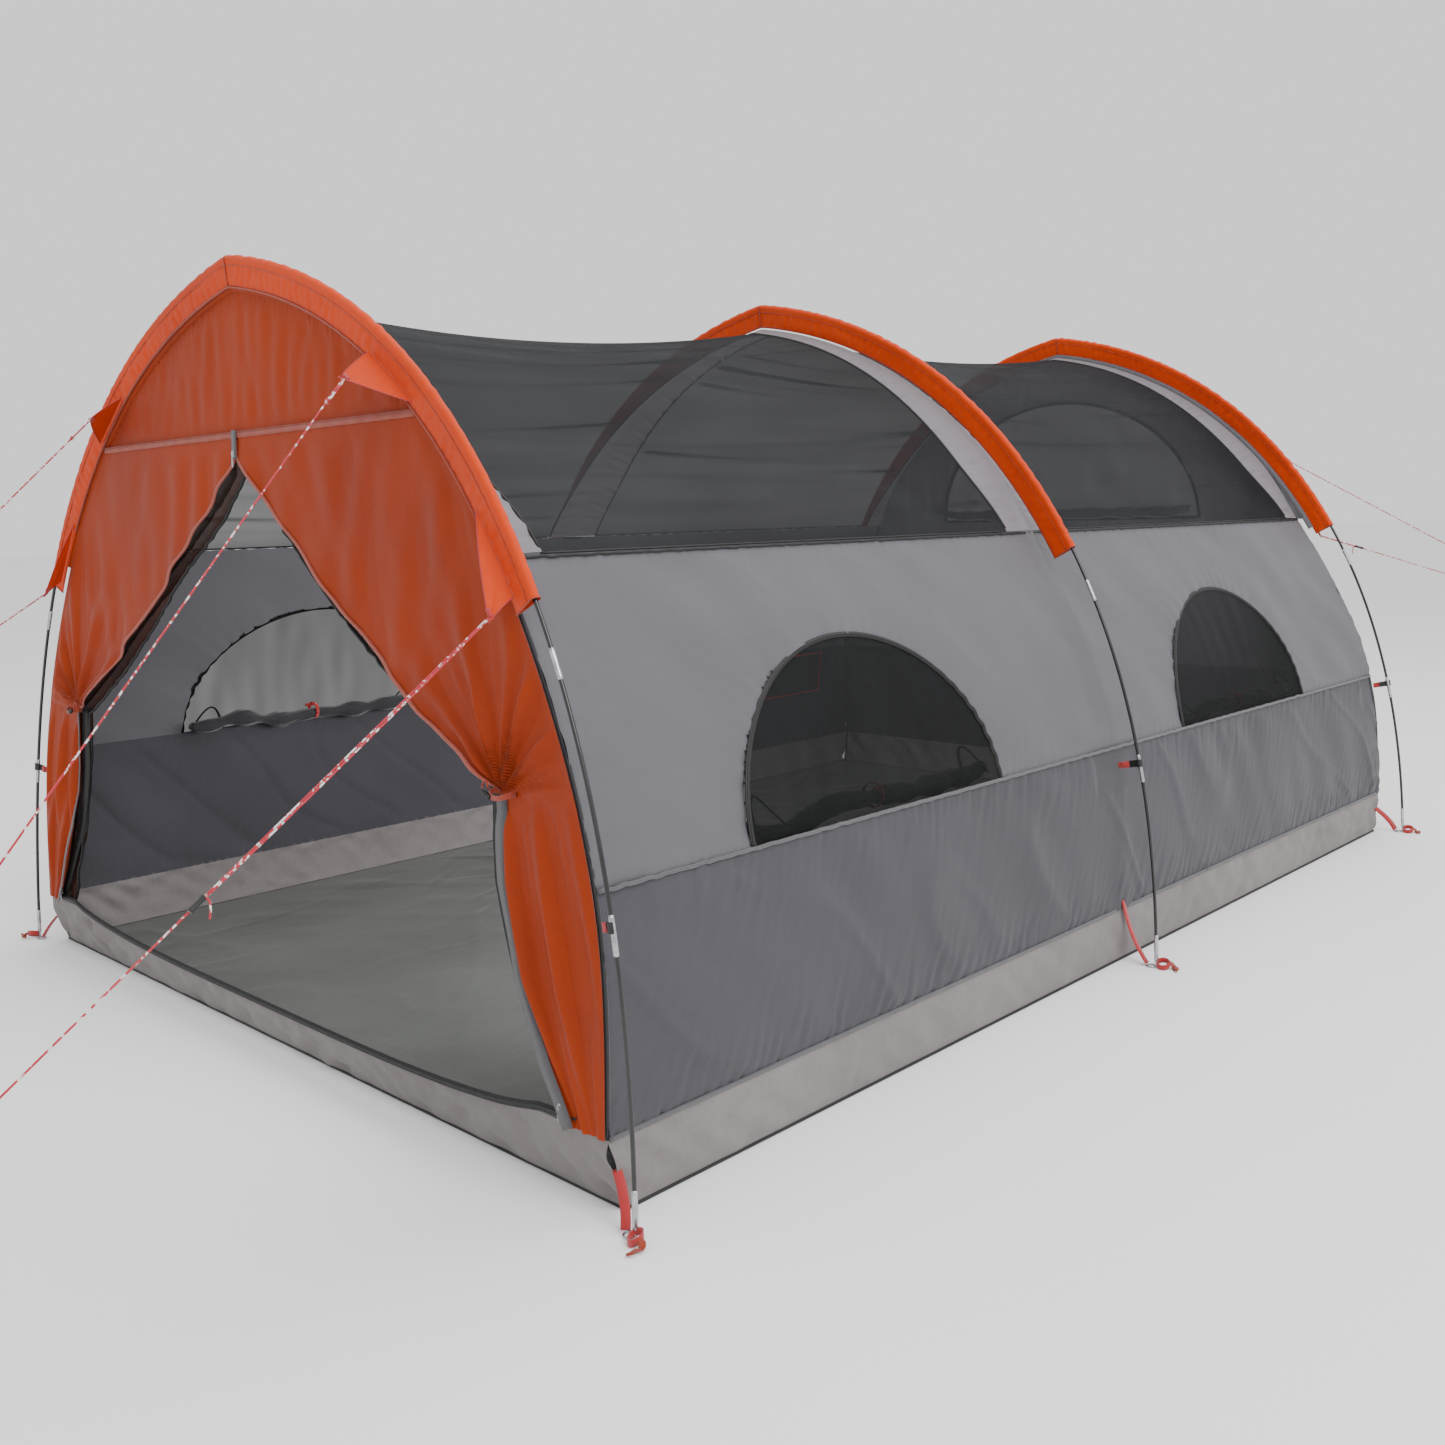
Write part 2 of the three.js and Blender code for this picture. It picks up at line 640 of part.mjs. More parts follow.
// The steel pin that plugs into a pole's tip, on the ring that the corner strap holds.
function ringPin(hoop, side) {
  const foot = nearHoop(hoop, side, POLE_FOOT_T);
  const pin = new THREE.CylinderGeometry(PIN_R, PIN_R, PIN_LENGTH, 8);
  pin.rotateX(Math.PI / 2);
  pin.translate(foot.x, foot.y, PIN_LENGTH / 2);
  const ring = new THREE.TorusGeometry(RING_R, RING_WIRE_R, 6, 14);
  ring.translate(foot.x - side * (RING_R + PIN_R - 1), foot.y, RING_WIRE_R + 0.1);
  return join(pin, ring);
}

function cordAlong(points) {
  const path = new THREE.CurvePath();
  for (let i = 1; i < points.length; i += 1) {
    path.add(new THREE.LineCurve3(points[i - 1], points[i]));
  }
  const section = new THREE.Shape();
  section.absarc(0, 0, CORD_R, 0, 2 * Math.PI, false);
  return new THREE.ExtrudeGeometry(section, {
    steps: CORD_STEPS, extrudePath: path, bevelEnabled: false, curveSegments: 2,
  });
}

// Where each taut line ends, at its knotted end.
const LINE_ENDS = {
  guy_front_right_upper: { end: 'front', side: 1, level: 'upper', knot: [892, -2994, 780] },
  guy_front_right_lower: { end: 'front', side: 1, level: 'lower', knot: [1112, -3096, 482] },
  guy_front_left_upper: { end: 'front', side: -1, level: 'upper', knot: [-733, -2400, 1381] },
  guy_front_left_lower: { end: 'front', side: -1, level: 'lower', knot: [-1125, -2302, 1054] },
  guy_rear_right_upper: { end: 'rear', side: 1, level: 'upper', knot: [1422, 2847, 1118] },
  guy_rear_right_lower: { end: 'rear', side: 1, level: 'lower', knot: [1480, 2650, 1012] },
};
const EYE_CLEAR = 6;

function lineRoute({ end, side, level, knot }) {
  const [x, y, z] = EYES[end][level];
  const eye = new THREE.Vector3(side * x, y, z);
  const finish = new THREE.Vector3(...knot);
  const direction = finish.clone().sub(eye).normalize();
  return { start: eye.addScaledVector(direction, EYE_CLEAR), finish, direction };
}

const guyLine = (line) => {
  const { start, finish } = lineRoute(line);
  return cordAlong([start, finish]);
};

// A line tensioner: a small block that the line runs through.
const RUNNERS = {
  runner_front_right: { line: 'guy_front_right_lower', along: 752 },
  runner_rear_right: { line: 'guy_rear_right_lower', along: 190 },
};

function runner({ line, along }) {
  const { start, direction } = lineRoute(LINE_ENDS[line]);
  const across = new THREE.Vector3(0, 0, 1).cross(direction).normalize();
  const up = direction.clone().cross(across);
  const centre = start.clone().addScaledVector(direction, along);
  const corners = 8;
  const grid = (scale) => [-0.5, 0.5].map((end) => Array.from({ length: corners }, (_, i) => {
    const angle = ((i + 0.5) / corners) * 2 * Math.PI;
    const [w, h] = scale(Math.cos(angle), Math.sin(angle));
    return centre.clone().addScaledVector(direction, end * RUNNER.length)
      .addScaledVector(across, w).addScaledVector(up, h);
  }));
  const block = (c, s) => [Math.sign(c) * RUNNER.width / 2 * Math.min(1, Math.abs(c) * 1.3),
    Math.sign(s) * RUNNER.depth / 2 * Math.min(1, Math.abs(s) * 1.3)];
  const bore = (c, s) => [RUNNER.bore * c, RUNNER.bore * s];
  return shell(grid(block), grid(bore), { closeAround: true });
}

// Zip sliders: a small body in front of the zip, and the tab that hangs from it.
const SLIDER = { width: 9, height: 14, depth: 5 };
const TAB = { width: 8, height: 30, depth: 1.6 };
const SILL_ZIP = { x: 1262, z: 196 };

function sliderBody(x, z, standoff) {
  const block = new THREE.BoxGeometry(SLIDER.width, SLIDER.depth, SLIDER.height);
  const wedge = new THREE.CylinderGeometry(SLIDER.width / 2, SLIDER.width / 2, SLIDER.depth, 10);
  wedge.translate(0, 0, SLIDER.height / 2);
  const body = join(block, wedge);
  body.translate(x, endWallY('front', z) - standoff, z);
  return body;
}

function pullTab(x, z, standoff) {
  const outline = new THREE.Shape();
  outline.absellipse(0, -TAB.height / 2, TAB.width / 2, TAB.height / 2, 0, 2 * Math.PI, false, 0);
  const hole = new THREE.Path();
  hole.absarc(0, -TAB.height + 7, 2, 0, 2 * Math.PI, true);
  outline.holes.push(hole);
  const tab = new THREE.ExtrudeGeometry(outline, { depth: TAB.depth, bevelEnabled: false, curveSegments: 8 });
  tab.rotateX(Math.PI / 2);
  tab.translate(x, endWallY('front', z) - standoff, z);
  return tab;
}

function sillSlider(side) {
  const { x, z } = SILL_ZIP;
  const body = sliderBody(side * x, z, 15);
  return join(body, pullTab(side * x, z + 1, 16.5));
}

// ---- Assembly --------------------------------------------------------------------

const tent = new THREE.Group();

function add(name, geometry, look) {
  const mesh = new THREE.Mesh(geometry, look());
  mesh.name = name;
  tent.add(mesh);
}

const SIDES = { left: -1, right: 1 };

add('floor_sheet', floorSheet(), LOOK.groundsheet);
add('tub_band', tubBand(), LOOK.tubGrey);

for (const [name, side] of Object.entries(SIDES)) {
  add(`wall_${name}_lower`, sideWall(side, TUB_Z + SEAM_GAP, MID_SEAM_Z, 1, 1), LOOK.lowerGrey);
  add(`wall_${name}_upper`, upperSideWall(side), LOOK.upperGrey);
  for (const [place, centre] of Object.entries(WINDOW_CENTRES)) {
    add(`window_screen_${name}_${place}`, sideScreen(side, centre), LOOK.mesh);
  }
  add(`door_${name}`, door(side), LOOK.orange);
  add(`mesh_door_${name}`, meshDoor(side), LOOK.meshDoor);
  add(`zip_slider_sill_${name}`, sillSlider(side), LOOK.steel);
}

add('wall_rear_lower', rearWall(TUB_Z + SEAM_GAP, MID_SEAM_Z), LOOK.lowerGrey);
add('wall_rear_middle', rearWall(MID_SEAM_Z + SEAM_GAP, WALL_TOP_Z), LOOK.upperGrey);
add('wall_rear_gable', cut(archWall('rear', WALL_TOP_Z + SEAM_GAP), rearWindowPrism(0)), LOOK.upperGrey);
add('window_screen_rear', overlap(archWall('rear', WALL_TOP_Z + SEAM_GAP), rearWindowPrism(SCREEN_GAP)),
  LOOK.mesh);
add('gable_front', archWall('front', DOOR_SEAM_Z), LOOK.orange);

add('band_front', archBand(HOOPS.front, END_BAND_START, BAND_WIDTH), LOOK.bandGrey);
add('band_middle', archBand(HOOPS.middle, -BAND_WIDTH, BAND_WIDTH), LOOK.bandGrey);
add('band_rear', archBand(HOOPS.rear, -BAND_WIDTH, -END_BAND_START), LOOK.bandGrey);
add('roof_mesh_front', roofMesh(HOOPS.front, HOOPS.middle, ROOF_SAG_FRONT), LOOK.mesh);
add('roof_mesh_rear', roofMesh(HOOPS.middle, HOOPS.rear, ROOF_SAG_REAR), LOOK.mesh);

add('sleeve_front', sleeveWithPatches(HOOPS.front, 'front'), LOOK.orangeSleeve);
add('sleeve_middle', sleeve(HOOPS.middle), LOOK.orangeSleeve);
add('sleeve_rear', sleeveWithPatches(HOOPS.rear, 'rear'), LOOK.orangeSleeve);

// The clip's strap is sewn to the wall beside the pole; at the ends it is sewn to the corner.
const CLIP_SEAM_Y = { front: endWallY('front', CLIP_Z) + 4, middle: planeY(HOOPS.middle, CLIP_Z),
  rear: endWallY('rear', CLIP_Z) - 4 };

for (const [place, hoop] of Object.entries(HOOPS)) {
  add(`pole_${place}_elbow`, elbow(hoop), LOOK.blackPole);
  for (const [name, side] of Object.entries(SIDES)) {
    const swing = side * (place === 'rear' ? -1 : 1);
    add(`pole_${place}_${name}`, pole(hoop, side), LOOK.blackPole);
    add(`clip_${place}_${name}`, clip(clipPlace(hoop, side, CLIP_SEAM_Y[place]), swing), LOOK.clipBlack);
    add(`foot_pin_${place}_${name}`, ringPin(hoop, side), LOOK.steel);
  }
}

for (const [name, line] of Object.entries(LINE_ENDS)) add(name, guyLine(line), LOOK.cord);
for (const [name, place] of Object.entries(RUNNERS)) add(name, runner(place), LOOK.clipBlack);

add('zip_slider_door', sliderBody(0, DOOR_PEAK_Z + 8, 14), LOOK.steel);
add('zip_tab_door', pullTab(0, DOOR_PEAK_Z + 4, 17.5), LOOK.steel);

export default tent;
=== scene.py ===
"""Looks of a tunnel tent on three pole hoops, in metres, +Z up, doorway towards -Y."""

import math

import bpy
import numpy as np
from mathutils import Matrix, Vector


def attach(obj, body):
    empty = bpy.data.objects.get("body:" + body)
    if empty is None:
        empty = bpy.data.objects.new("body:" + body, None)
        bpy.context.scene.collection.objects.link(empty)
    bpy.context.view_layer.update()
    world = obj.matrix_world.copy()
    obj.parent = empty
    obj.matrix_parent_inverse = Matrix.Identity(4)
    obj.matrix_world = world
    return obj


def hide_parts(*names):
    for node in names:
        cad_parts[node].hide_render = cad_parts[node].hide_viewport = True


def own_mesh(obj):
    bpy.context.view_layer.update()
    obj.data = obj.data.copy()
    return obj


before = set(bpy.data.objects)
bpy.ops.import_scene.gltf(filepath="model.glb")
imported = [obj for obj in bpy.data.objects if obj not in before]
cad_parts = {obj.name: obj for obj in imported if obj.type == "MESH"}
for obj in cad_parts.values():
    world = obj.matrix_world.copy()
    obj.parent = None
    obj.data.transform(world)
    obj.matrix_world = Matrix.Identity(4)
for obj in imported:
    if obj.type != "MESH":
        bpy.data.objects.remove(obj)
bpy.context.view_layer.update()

# ---- Camera ------------------------------------------------------------------

YAW, PITCH, ROLL = np.radians([44.0549, 8.5177, -1.4639])
CAMERA_AT = (3.2985, -3.7323, 1.3431)
LENS_MM = 34.23

forward = np.array([-math.sin(YAW) * math.cos(PITCH), math.cos(YAW) * math.cos(PITCH), -math.sin(PITCH)])
right = np.array([math.cos(YAW), math.sin(YAW), 0.0])
above = np.cross(right, forward)
rolled_right = right * math.cos(ROLL) + above * math.sin(ROLL)
rolled_up = -right * math.sin(ROLL) + above * math.cos(ROLL)
turn = Matrix([rolled_right, rolled_up, -forward]).transposed()
camera = bpy.data.objects.new("camera", bpy.data.cameras.new("camera"))
camera.data.lens = LENS_MM
camera.data.sensor_width = 36
camera.data.clip_start = 0.1
camera.data.clip_end = 300
camera.matrix_world = Matrix.Translation(CAMERA_AT) @ turn.to_4x4()
bpy.context.scene.collection.objects.link(camera)
bpy.context.scene.camera = camera

# ---- Materials ---------------------------------------------------------------


def linear(hexcode):
    """A hex colour as linear red, green, blue and alpha."""
    parts = [int(hexcode[i:i + 2], 16) / 255 for i in (0, 2, 4)]
    return [p / 12.92 if p <= 0.04045 else ((p + 0.055) / 1.055) ** 2.4 for p in parts] + [1.0]


class Look:
    """A Principled material with helpers that wire procedural nodes into it."""

    def __init__(self, name, roughness, metallic=0.0, sheen=0.0, coat=0.0, specular=0.5):
        self.material = bpy.data.materials.new(name)
        self.material.use_nodes = True
        self.tree = self.material.node_tree
        self.shader = self.tree.nodes["Principled BSDF"]
        self.shader.inputs["Roughness"].default_value = roughness
        self.shader.inputs["Metallic"].default_value = metallic
        self.shader.inputs["Sheen Weight"].default_value = sheen
        self.shader.inputs["Sheen Roughness"].default_value = 0.45
        self.shader.inputs["Coat Weight"].default_value = coat
        self.shader.inputs["Specular IOR Level"].default_value = specular
        self.place = self.node("ShaderNodeTexCoord").outputs["Object"]

    def node(self, kind, **settings):
        made = self.tree.nodes.new(kind)
        for key, value in settings.items():
            setattr(made, key, value)
        return made

    def link(self, out, into):
        self.tree.links.new(out, into)

    def stretched(self, scale):
        mapping = self.node("ShaderNodeMapping")
        mapping.inputs["Scale"].default_value = scale
        self.link(self.place, mapping.inputs["Vector"])
        return mapping.outputs["Vector"]

    def noise(self, scale, detail=3.0, distortion=0.0, stretch=None, roughness=0.5):
        made = self.node("ShaderNodeTexNoise")
        made.inputs["Scale"].default_value = scale
        made.inputs["Detail"].default_value = detail
        made.inputs["Distortion"].default_value = distortion
        made.inputs["Roughness"].default_value = roughness
        self.link(self.stretched(stretch) if stretch else self.place, made.inputs["Vector"])
        return made.outputs["Fac"]

    def wave(self, scale, direction):
        made = self.node("ShaderNodeTexWave", wave_type="BANDS", bands_direction=direction)
        made.inputs["Scale"].default_value = scale
        made.inputs["Distortion"].default_value = 0.6
        made.inputs["Detail"].default_value = 1.0
        self.link(self.place, made.inputs["Vector"])
        return made.outputs["Fac"]

    def math(self, operation, a, b):
        made = self.node("ShaderNodeMath", operation=operation)
        for value, socket in ((a, made.inputs[0]), (b, made.inputs[1])):
            if isinstance(value, (int, float)):
                socket.default_value = value
            else:
                self.link(value, socket)
        return made.outputs[0]

    def spread(self, value, low, high, to_low=0.0, to_high=1.0):
        made = self.node("ShaderNodeMapRange")
        for key, number in (("From Min", low), ("From Max", high), ("To Min", to_low), ("To Max", to_high)):
            made.inputs[key].default_value = number
        self.link(value, made.inputs["Value"])
        return made.outputs["Result"]

    def mix(self, factor, first, second):
        made = self.node("ShaderNodeMix", data_type="RGBA")
        self.link(factor, made.inputs["Factor"])
        for value, socket in ((first, made.inputs[6]), (second, made.inputs[7])):
            if isinstance(value, list):
                socket.default_value = value
            else:
                self.link(value, socket)
        return made.outputs[2]

    def colour(self, output):
        self.link(output, self.shader.inputs["Base Color"])

    def bumps(self, *layers):
        """Stacks (height, strength, distance) layers of bump onto the shader's normal."""
        previous = None
        for height, strength, distance in layers:
            bump = self.node("ShaderNodeBump")
            bump.inputs["Strength"].default_value = strength
            bump.inputs["Distance"].default_value = distance
            self.link(height, bump.inputs["Height"])
            if previous:
                self.link(previous, bump.inputs["Normal"])
            previous = bump.outputs["Normal"]
        self.link(previous, self.shader.inputs["Normal"])


WEAVE_SCALE = 260.0


def cloth(name, shade, deep, roughness=0.7, sheen=0.25, crease=0.006, fold_scale=5.0, stretch=None):
    """Woven polyester: two close shades, a weave, and shallow creases."""
    look = Look(name, roughness, sheen=sheen, specular=0.2)
    large = look.noise(1.6, detail=5, distortion=0.4)
    small = look.noise(55, detail=2)
    tone = look.spread(look.math("ADD", large, look.math("MULTIPLY", small, 0.25)), 0.35, 0.85)
    look.colour(look.mix(tone, linear(deep), linear(shade)))
    threads = look.math("ADD", look.wave(WEAVE_SCALE, "X"), look.wave(WEAVE_SCALE, "Y"))
    threads = look.math("ADD", threads, look.wave(WEAVE_SCALE, "Z"))
    creases = look.noise(fold_scale, detail=6, distortion=0.9, stretch=stretch, roughness=0.62)
    fine = look.noise(fold_scale * 5, detail=3, distortion=0.4, stretch=stretch)
    look.link(look.spread(large, 0.3, 0.8, roughness - 0.08, roughness + 0.08),
              look.shader.inputs["Roughness"])
    look.bumps((creases, 0.55, crease), (fine, 0.3, crease * 0.25), (threads, 0.25, 0.0002))
    return look.material


def netting(name, shade, deep, alpha_low, alpha_high, roughness=0.85):
    """See-through netting: the `fold` attribute lets less light through where it is high. It holds the folds
    of the netting, and on the roof also painted shade along the creases and towards the top.
    """
    look = Look(name, roughness, specular=0.1)
    cells = look.math("MULTIPLY", look.wave(190, "X"), look.wave(190, "Y"))
    cells = look.math("ADD", cells, look.math("MULTIPLY", look.wave(190, "Z"), 0.5))
    cloudy = look.noise(2.5, detail=4, distortion=0.5)
    look.colour(look.mix(look.spread(cloudy, 0.3, 0.7), linear(deep), linear(shade)))
    fold = look.node("ShaderNodeAttribute", attribute_name="fold").outputs["Fac"]
    dense = look.math("ADD", fold, look.math("MULTIPLY", look.math("ADD", cloudy, -0.5), 0.35))
    dense = look.math("ADD", dense, look.math("MULTIPLY", look.math("ADD", cells, -0.6), 0.12))
    look.link(look.spread(dense, 0.0, 1.0, alpha_low, alpha_high), look.shader.inputs["Alpha"])
    look.bumps((cells, 0.3, 0.0003), (look.noise(9, detail=4), 0.3, 0.002))
    return look.material


def plain(name, shade, deep, roughness, metallic=0.0, coat=0.0, scale=60.0, bump=0.0003):
    """Lacquer, plastic or metal: two shades, worn patches and a fine grain."""
    look = Look(name, roughness, metallic=metallic, coat=coat)
    worn = look.noise(scale, detail=5, distortion=0.3)
    look.colour(look.mix(look.spread(worn, 0.35, 0.75), linear(deep), linear(shade)))
    look.link(look.spread(worn, 0.2, 0.8, roughness * 0.8, min(1.0, roughness * 1.3)),
              look.shader.inputs["Roughness"])
    look.bumps((look.noise(scale * 9, detail=3), 0.3, bump))
    return look.material


def webbing(name, shade, deep):
    """Narrow woven tape with ribs across it."""
    look = Look(name, 0.7, sheen=0.3)
    ribs = look.math("ADD", look.wave(300, "X"), look.wave(300, "Z"))
    tone = look.spread(look.math("ADD", ribs, look.noise(30)), 0.6, 2.2)
    look.colour(look.mix(tone, linear(deep), linear(shade)))
    look.bumps((ribs, 0.6, 0.0006))
    return look.material


def braided(name):
    """Red cord with pale flecks."""
    look = Look(name, 0.75, sheen=0.2)
    flecks = look.noise(95, detail=1, distortion=0.2)
    strands = look.math("ADD", look.wave(330, "X"), look.wave(330, "Z"))
    base = look.mix(look.spread(strands, 0.4, 1.6), linear("A01426"), linear("D42A40"))
    look.colour(look.mix(look.spread(flecks, 0.55, 0.58), base, linear("E8E0DC")))
    look.bumps((strands, 0.6, 0.0006))
    return look.material


MATERIALS = {
    "door_cloth": cloth("orange_cloth", "9C3302", "852802", 0.64, 0.05, 0.005, 3.5, (1.6, 1, 0.7)),
    "sleeve_cloth": cloth("sleeve_cloth", "D03E01", "B63301", 0.6, 0.05, 0.004, 9.0),
    "upper_wall": cloth("upper_wall_cloth", "5F5E63", "58575C", 0.62, 0.12, 0.006, 3.0, (1, 1, 0.8)),
    "lower_wall": cloth("lower_wall_cloth", "48474D", "403F44", 0.6, 0.12, 0.007, 3.6, (1, 0.7, 1.2)),
    "tub_cloth": cloth("tub_cloth", "827D7C", "6E6968", 0.66, 0.1, 0.012, 6.0),
    "band_cloth": cloth("band_cloth", "7D797E", "706C72", 0.66, 0.12, 0.005, 10.0),
    "groundsheet": cloth("groundsheet", "646663", "525451", 0.38, 0.1, 0.012, 2.2, (1.4, 0.7, 1)),
    "roof_mesh": netting("roof_netting", "26272A", "1B1C1E", 0.72, 0.99),
    "window_mesh": netting("window_netting", "1B1C1C", "131414", 0.80, 0.95),
    "door_mesh": netting("door_netting", "3E2116", "26130C", 0.80, 0.99),
    "pole_black": plain("black_lacquer", "1A1A1D", "0D0D0F", 0.28, coat=0.3, scale=18),
    "clip_plastic": plain("black_plastic", "202022", "121213", 0.45, scale=80),
    "steel": plain("bright_steel", "C9CBCE", "9FA1A5", 0.28, metallic=0.95, scale=45),
    "guy_cord": braided("guy_cord"),
    "red_tape": webbing("red_webbing", "C42A2E", "9C1A1F"),
    "orange_tape": webbing("orange_webbing", "A83404", "842502"),
    "zip_black": plain("black_zip_tape", "1E1E20", "0E0E0F", 0.6, scale=120, bump=0.0006),
    "cover_cloth": cloth("window_cover_cloth", "39393C", "2A2A2D", 0.6, 0.25, 0.008, 14.0),
    "grey_tape": webbing("grey_binding", "59585C", "474649"),
}

# ---- Mesh helpers ------------------------------------------------------------


def piece(name, points, faces, look, slot=None, body="tent", replaces=(), smooth=True, fold=None):
    """A mesh in the row frame that rides on a body."""
    mesh = bpy.data.meshes.new(name)
    mesh.from_pydata([tuple(p) for p in points], [], [tuple(int(i) for i in f) for f in faces])
    mesh.validate()
    if smooth:
        mesh.shade_smooth()
    if fold is not None:
        mesh.attributes.new("fold", "FLOAT", "POINT").data.foreach_set("value", np.asarray(fold, np.float32))
    mesh.materials.append(MATERIALS[look])
    made = bpy.data.objects.new(name, mesh)
    bpy.context.scene.collection.objects.link(made)
    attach(made, body)
    if replaces:
        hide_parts(*replaces)
    return made


def joined(x, y, z):
    """Points from coordinates that are arrays of one shape or single numbers."""
    return np.stack(np.broadcast_arrays(np.asarray(x, float), y, z), -1)


def grid_faces(rows, columns, keep=None):
    faces = []
    for i in range(rows - 1):
        for j in range(columns - 1):
            if keep is None or keep[i, j]:
                a = i * columns + j
                faces.append((a, a + 1, a + columns + 1, a + columns))
    return faces


def used_only(points, faces, extra=None):
    """Drops the points that no face uses."""
    used = np.unique(np.array([i for f in faces for i in f]))
    index = {int(old): new for new, old in enumerate(used)}
    return points[used], [tuple(index[i] for i in f) for f in faces], None if extra is None else extra[used]


def grid_size(grid):
    """A grid's widest and longest lines and its area, before it is creased."""
    across = np.linalg.norm(np.diff(grid, axis=0), axis=2).sum(0).max()
    along = np.linalg.norm(np.diff(grid, axis=1), axis=2).sum(1).max()
    a, b = grid[1:, :-1] - grid[:-1, :-1], grid[:-1, 1:] - grid[:-1, :-1]
    c, d = grid[1:, :-1] - grid[1:, 1:], grid[:-1, 1:] - grid[1:, 1:]
    cells = (np.linalg.norm(np.cross(a, b), axis=2) + np.linalg.norm(np.cross(c, d), axis=2)) / 2
    return across, along, cells


def normals_of(grid):
    du = np.gradient(grid, axis=0)
    dv = np.gradient(grid, axis=1)
    n = np.cross(du, dv)
    return n / np.maximum(np.linalg.norm(n, axis=2, keepdims=True), 1e-9)


def sheet(name, grid, look, push=None, keep=None, fold=None, replaces=(),
          spare=1.0, slot=None):
    """A sheet of cloth over a grid of points, pushed along its normals, with its flat area summed."""
    across, along, cells = grid_size(grid)
    area = cells.sum() if keep is None else cells[keep].sum()
    shaped = grid if push is None else grid + normals_of(grid) * push[..., None]
    rows, columns = grid.shape[:2]
    faces = grid_faces(rows, columns, keep)
    values = None if fold is None else fold.reshape(-1)
    points, faces, values = used_only(shaped.reshape(-1, 3), faces, values)
    made = piece(name, points, faces, look, slot=slot, replaces=replaces, fold=values)
    area = float(area * spare)
    return made


def ripples(a, b, seed, across, along, count=26, turn_by=0.0, skew=0.12):
    """Smooth random waves of about unit height: short across, long along."""
    rng = np.random.default_rng(seed)
    total = np.zeros(np.broadcast(a, b).shape)
    for _ in range(count):
        angle = turn_by + rng.normal(0, skew)
        u = a * math.cos(angle) + b * math.sin(angle)
        v = b * math.cos(angle) - a * math.sin(angle)
        ka = rng.uniform(0.5, 1.6) * 2 * math.pi / across
        kb = rng.normal(0, 1.0) * 2 * math.pi / along
        total = total + np.cos(u * ka + v * kb + rng.uniform(0, 2 * math.pi))
    return total / math.sqrt(count / 2) / 1.6


def sharpened(wave, power=1.6):
    """Turns round waves into creases with narrow crests."""
    return np.sign(wave) * np.abs(wave) ** power


def crease_lines(wave, width=0.13):
    """Narrow ridges where a wave crosses zero."""
    return np.exp(-(wave / width) ** 2)


def frames_along(path, start=None):
    """Unit tangents and two normals at each point, with no twist."""
    path = np.asarray(path, float)
    tangent = np.gradient(path, axis=0)
    tangent /= np.linalg.norm(tangent, axis=1, keepdims=True)
    side = np.cross(tangent[0], [0, 0, 1] if start is None else start)
    if np.linalg.norm(side) < 1e-6:
        side = np.cross(tangent[0], [1, 0, 0])
    sides = []
    for t in tangent:
        side = side - t * (side @ t)
        side = side / np.linalg.norm(side)
        sides.append(side)
    sides = np.array(sides)
    return tangent, sides, np.cross(tangent, sides)


def tube_mesh(path, radius, sides=10, flat=1.0, start=None):
    """Points and faces of a capped tube; radius may change along it, and flat squeezes it."""
    path = np.asarray(path, float)
    _, n, b = frames_along(path, start)
    radius = np.broadcast_to(np.asarray(radius, float), (len(path),))
    angles = np.linspace(0, 2 * math.pi, sides, endpoint=False)
    rings = path[:, None, :] + radius[:, None, None] * (
        n[:, None, :] * np.cos(angles)[None, :, None] + flat * b[:, None, :] * np.sin(angles)[None, :, None])
    points = rings.reshape(-1, 3)
    faces = []
    for i in range(len(path) - 1):
        for j in range(sides):
            k = (j + 1) % sides
            faces.append((i * sides + j, i * sides + k, (i + 1) * sides + k, (i + 1) * sides + j))
    faces.append(tuple(range(sides))[::-1])
    faces.append(tuple((len(path) - 1) * sides + j for j in range(sides)))
    return points, faces


def gather(parts):
    """Joins several (points, faces) into one."""
    points, faces, start = [], [], 0
    for p, f in parts:
        points.append(p)
        faces += [tuple(i + start for i in face) for face in f]
        start += len(p)
    return np.concatenate(points), faces


def ribbon_mesh(path, width_way, width, thick):
    """A flat tape along a path: width_way points across it, at each point or once."""
    path = np.asarray(path, float)
    tangent = np.gradient(path, axis=0)
    tangent /= np.linalg.norm(tangent, axis=1, keepdims=True)
    way = np.broadcast_to(np.asarray(width_way, float), path.shape)
    way = way - tangent * np.sum(way * tangent, axis=1, keepdims=True)
    way = way / np.linalg.norm(way, axis=1, keepdims=True)
    up = np.cross(tangent, way)
    corners = [(-1, -1), (-1, 1), (1, 1), (1, -1)]
    ring = np.stack([path + way * (a * width / 2) + up * (b * thick / 2) for a, b in corners], axis=1)
    faces = []
    for i in range(len(path) - 1):
        for j in range(4):
            k = (j + 1) % 4
            faces.append((i * 4 + j, i * 4 + k, i * 4 + 4 + k, i * 4 + 4 + j))
    faces += [(3, 2, 1, 0), tuple(len(path) * 4 - 4 + j for j in range(4))]
    return ring.reshape(-1, 3), faces


def bevelled(made, width, segments=2):
    modifier = made.modifiers.new("edges", "BEVEL")
    modifier.width = width
    modifier.segments = segments
    modifier.limit_method = "ANGLE"
    return made


def smoothstep(value, low, high):
    t = np.clip((value - low) / (high - low), 0, 1)
    return t * t * (3 - 2 * t)


def bell(value, centre, width):
    return np.exp(-((value - centre) / width) ** 2)


# ---- Hoops -------------------------------------------------------------------

SHAPE = {"knee_in": 0.0104, "knee_up": 0.5745, "shoulder_out": 0.612, "shoulder_down": 0.0713}


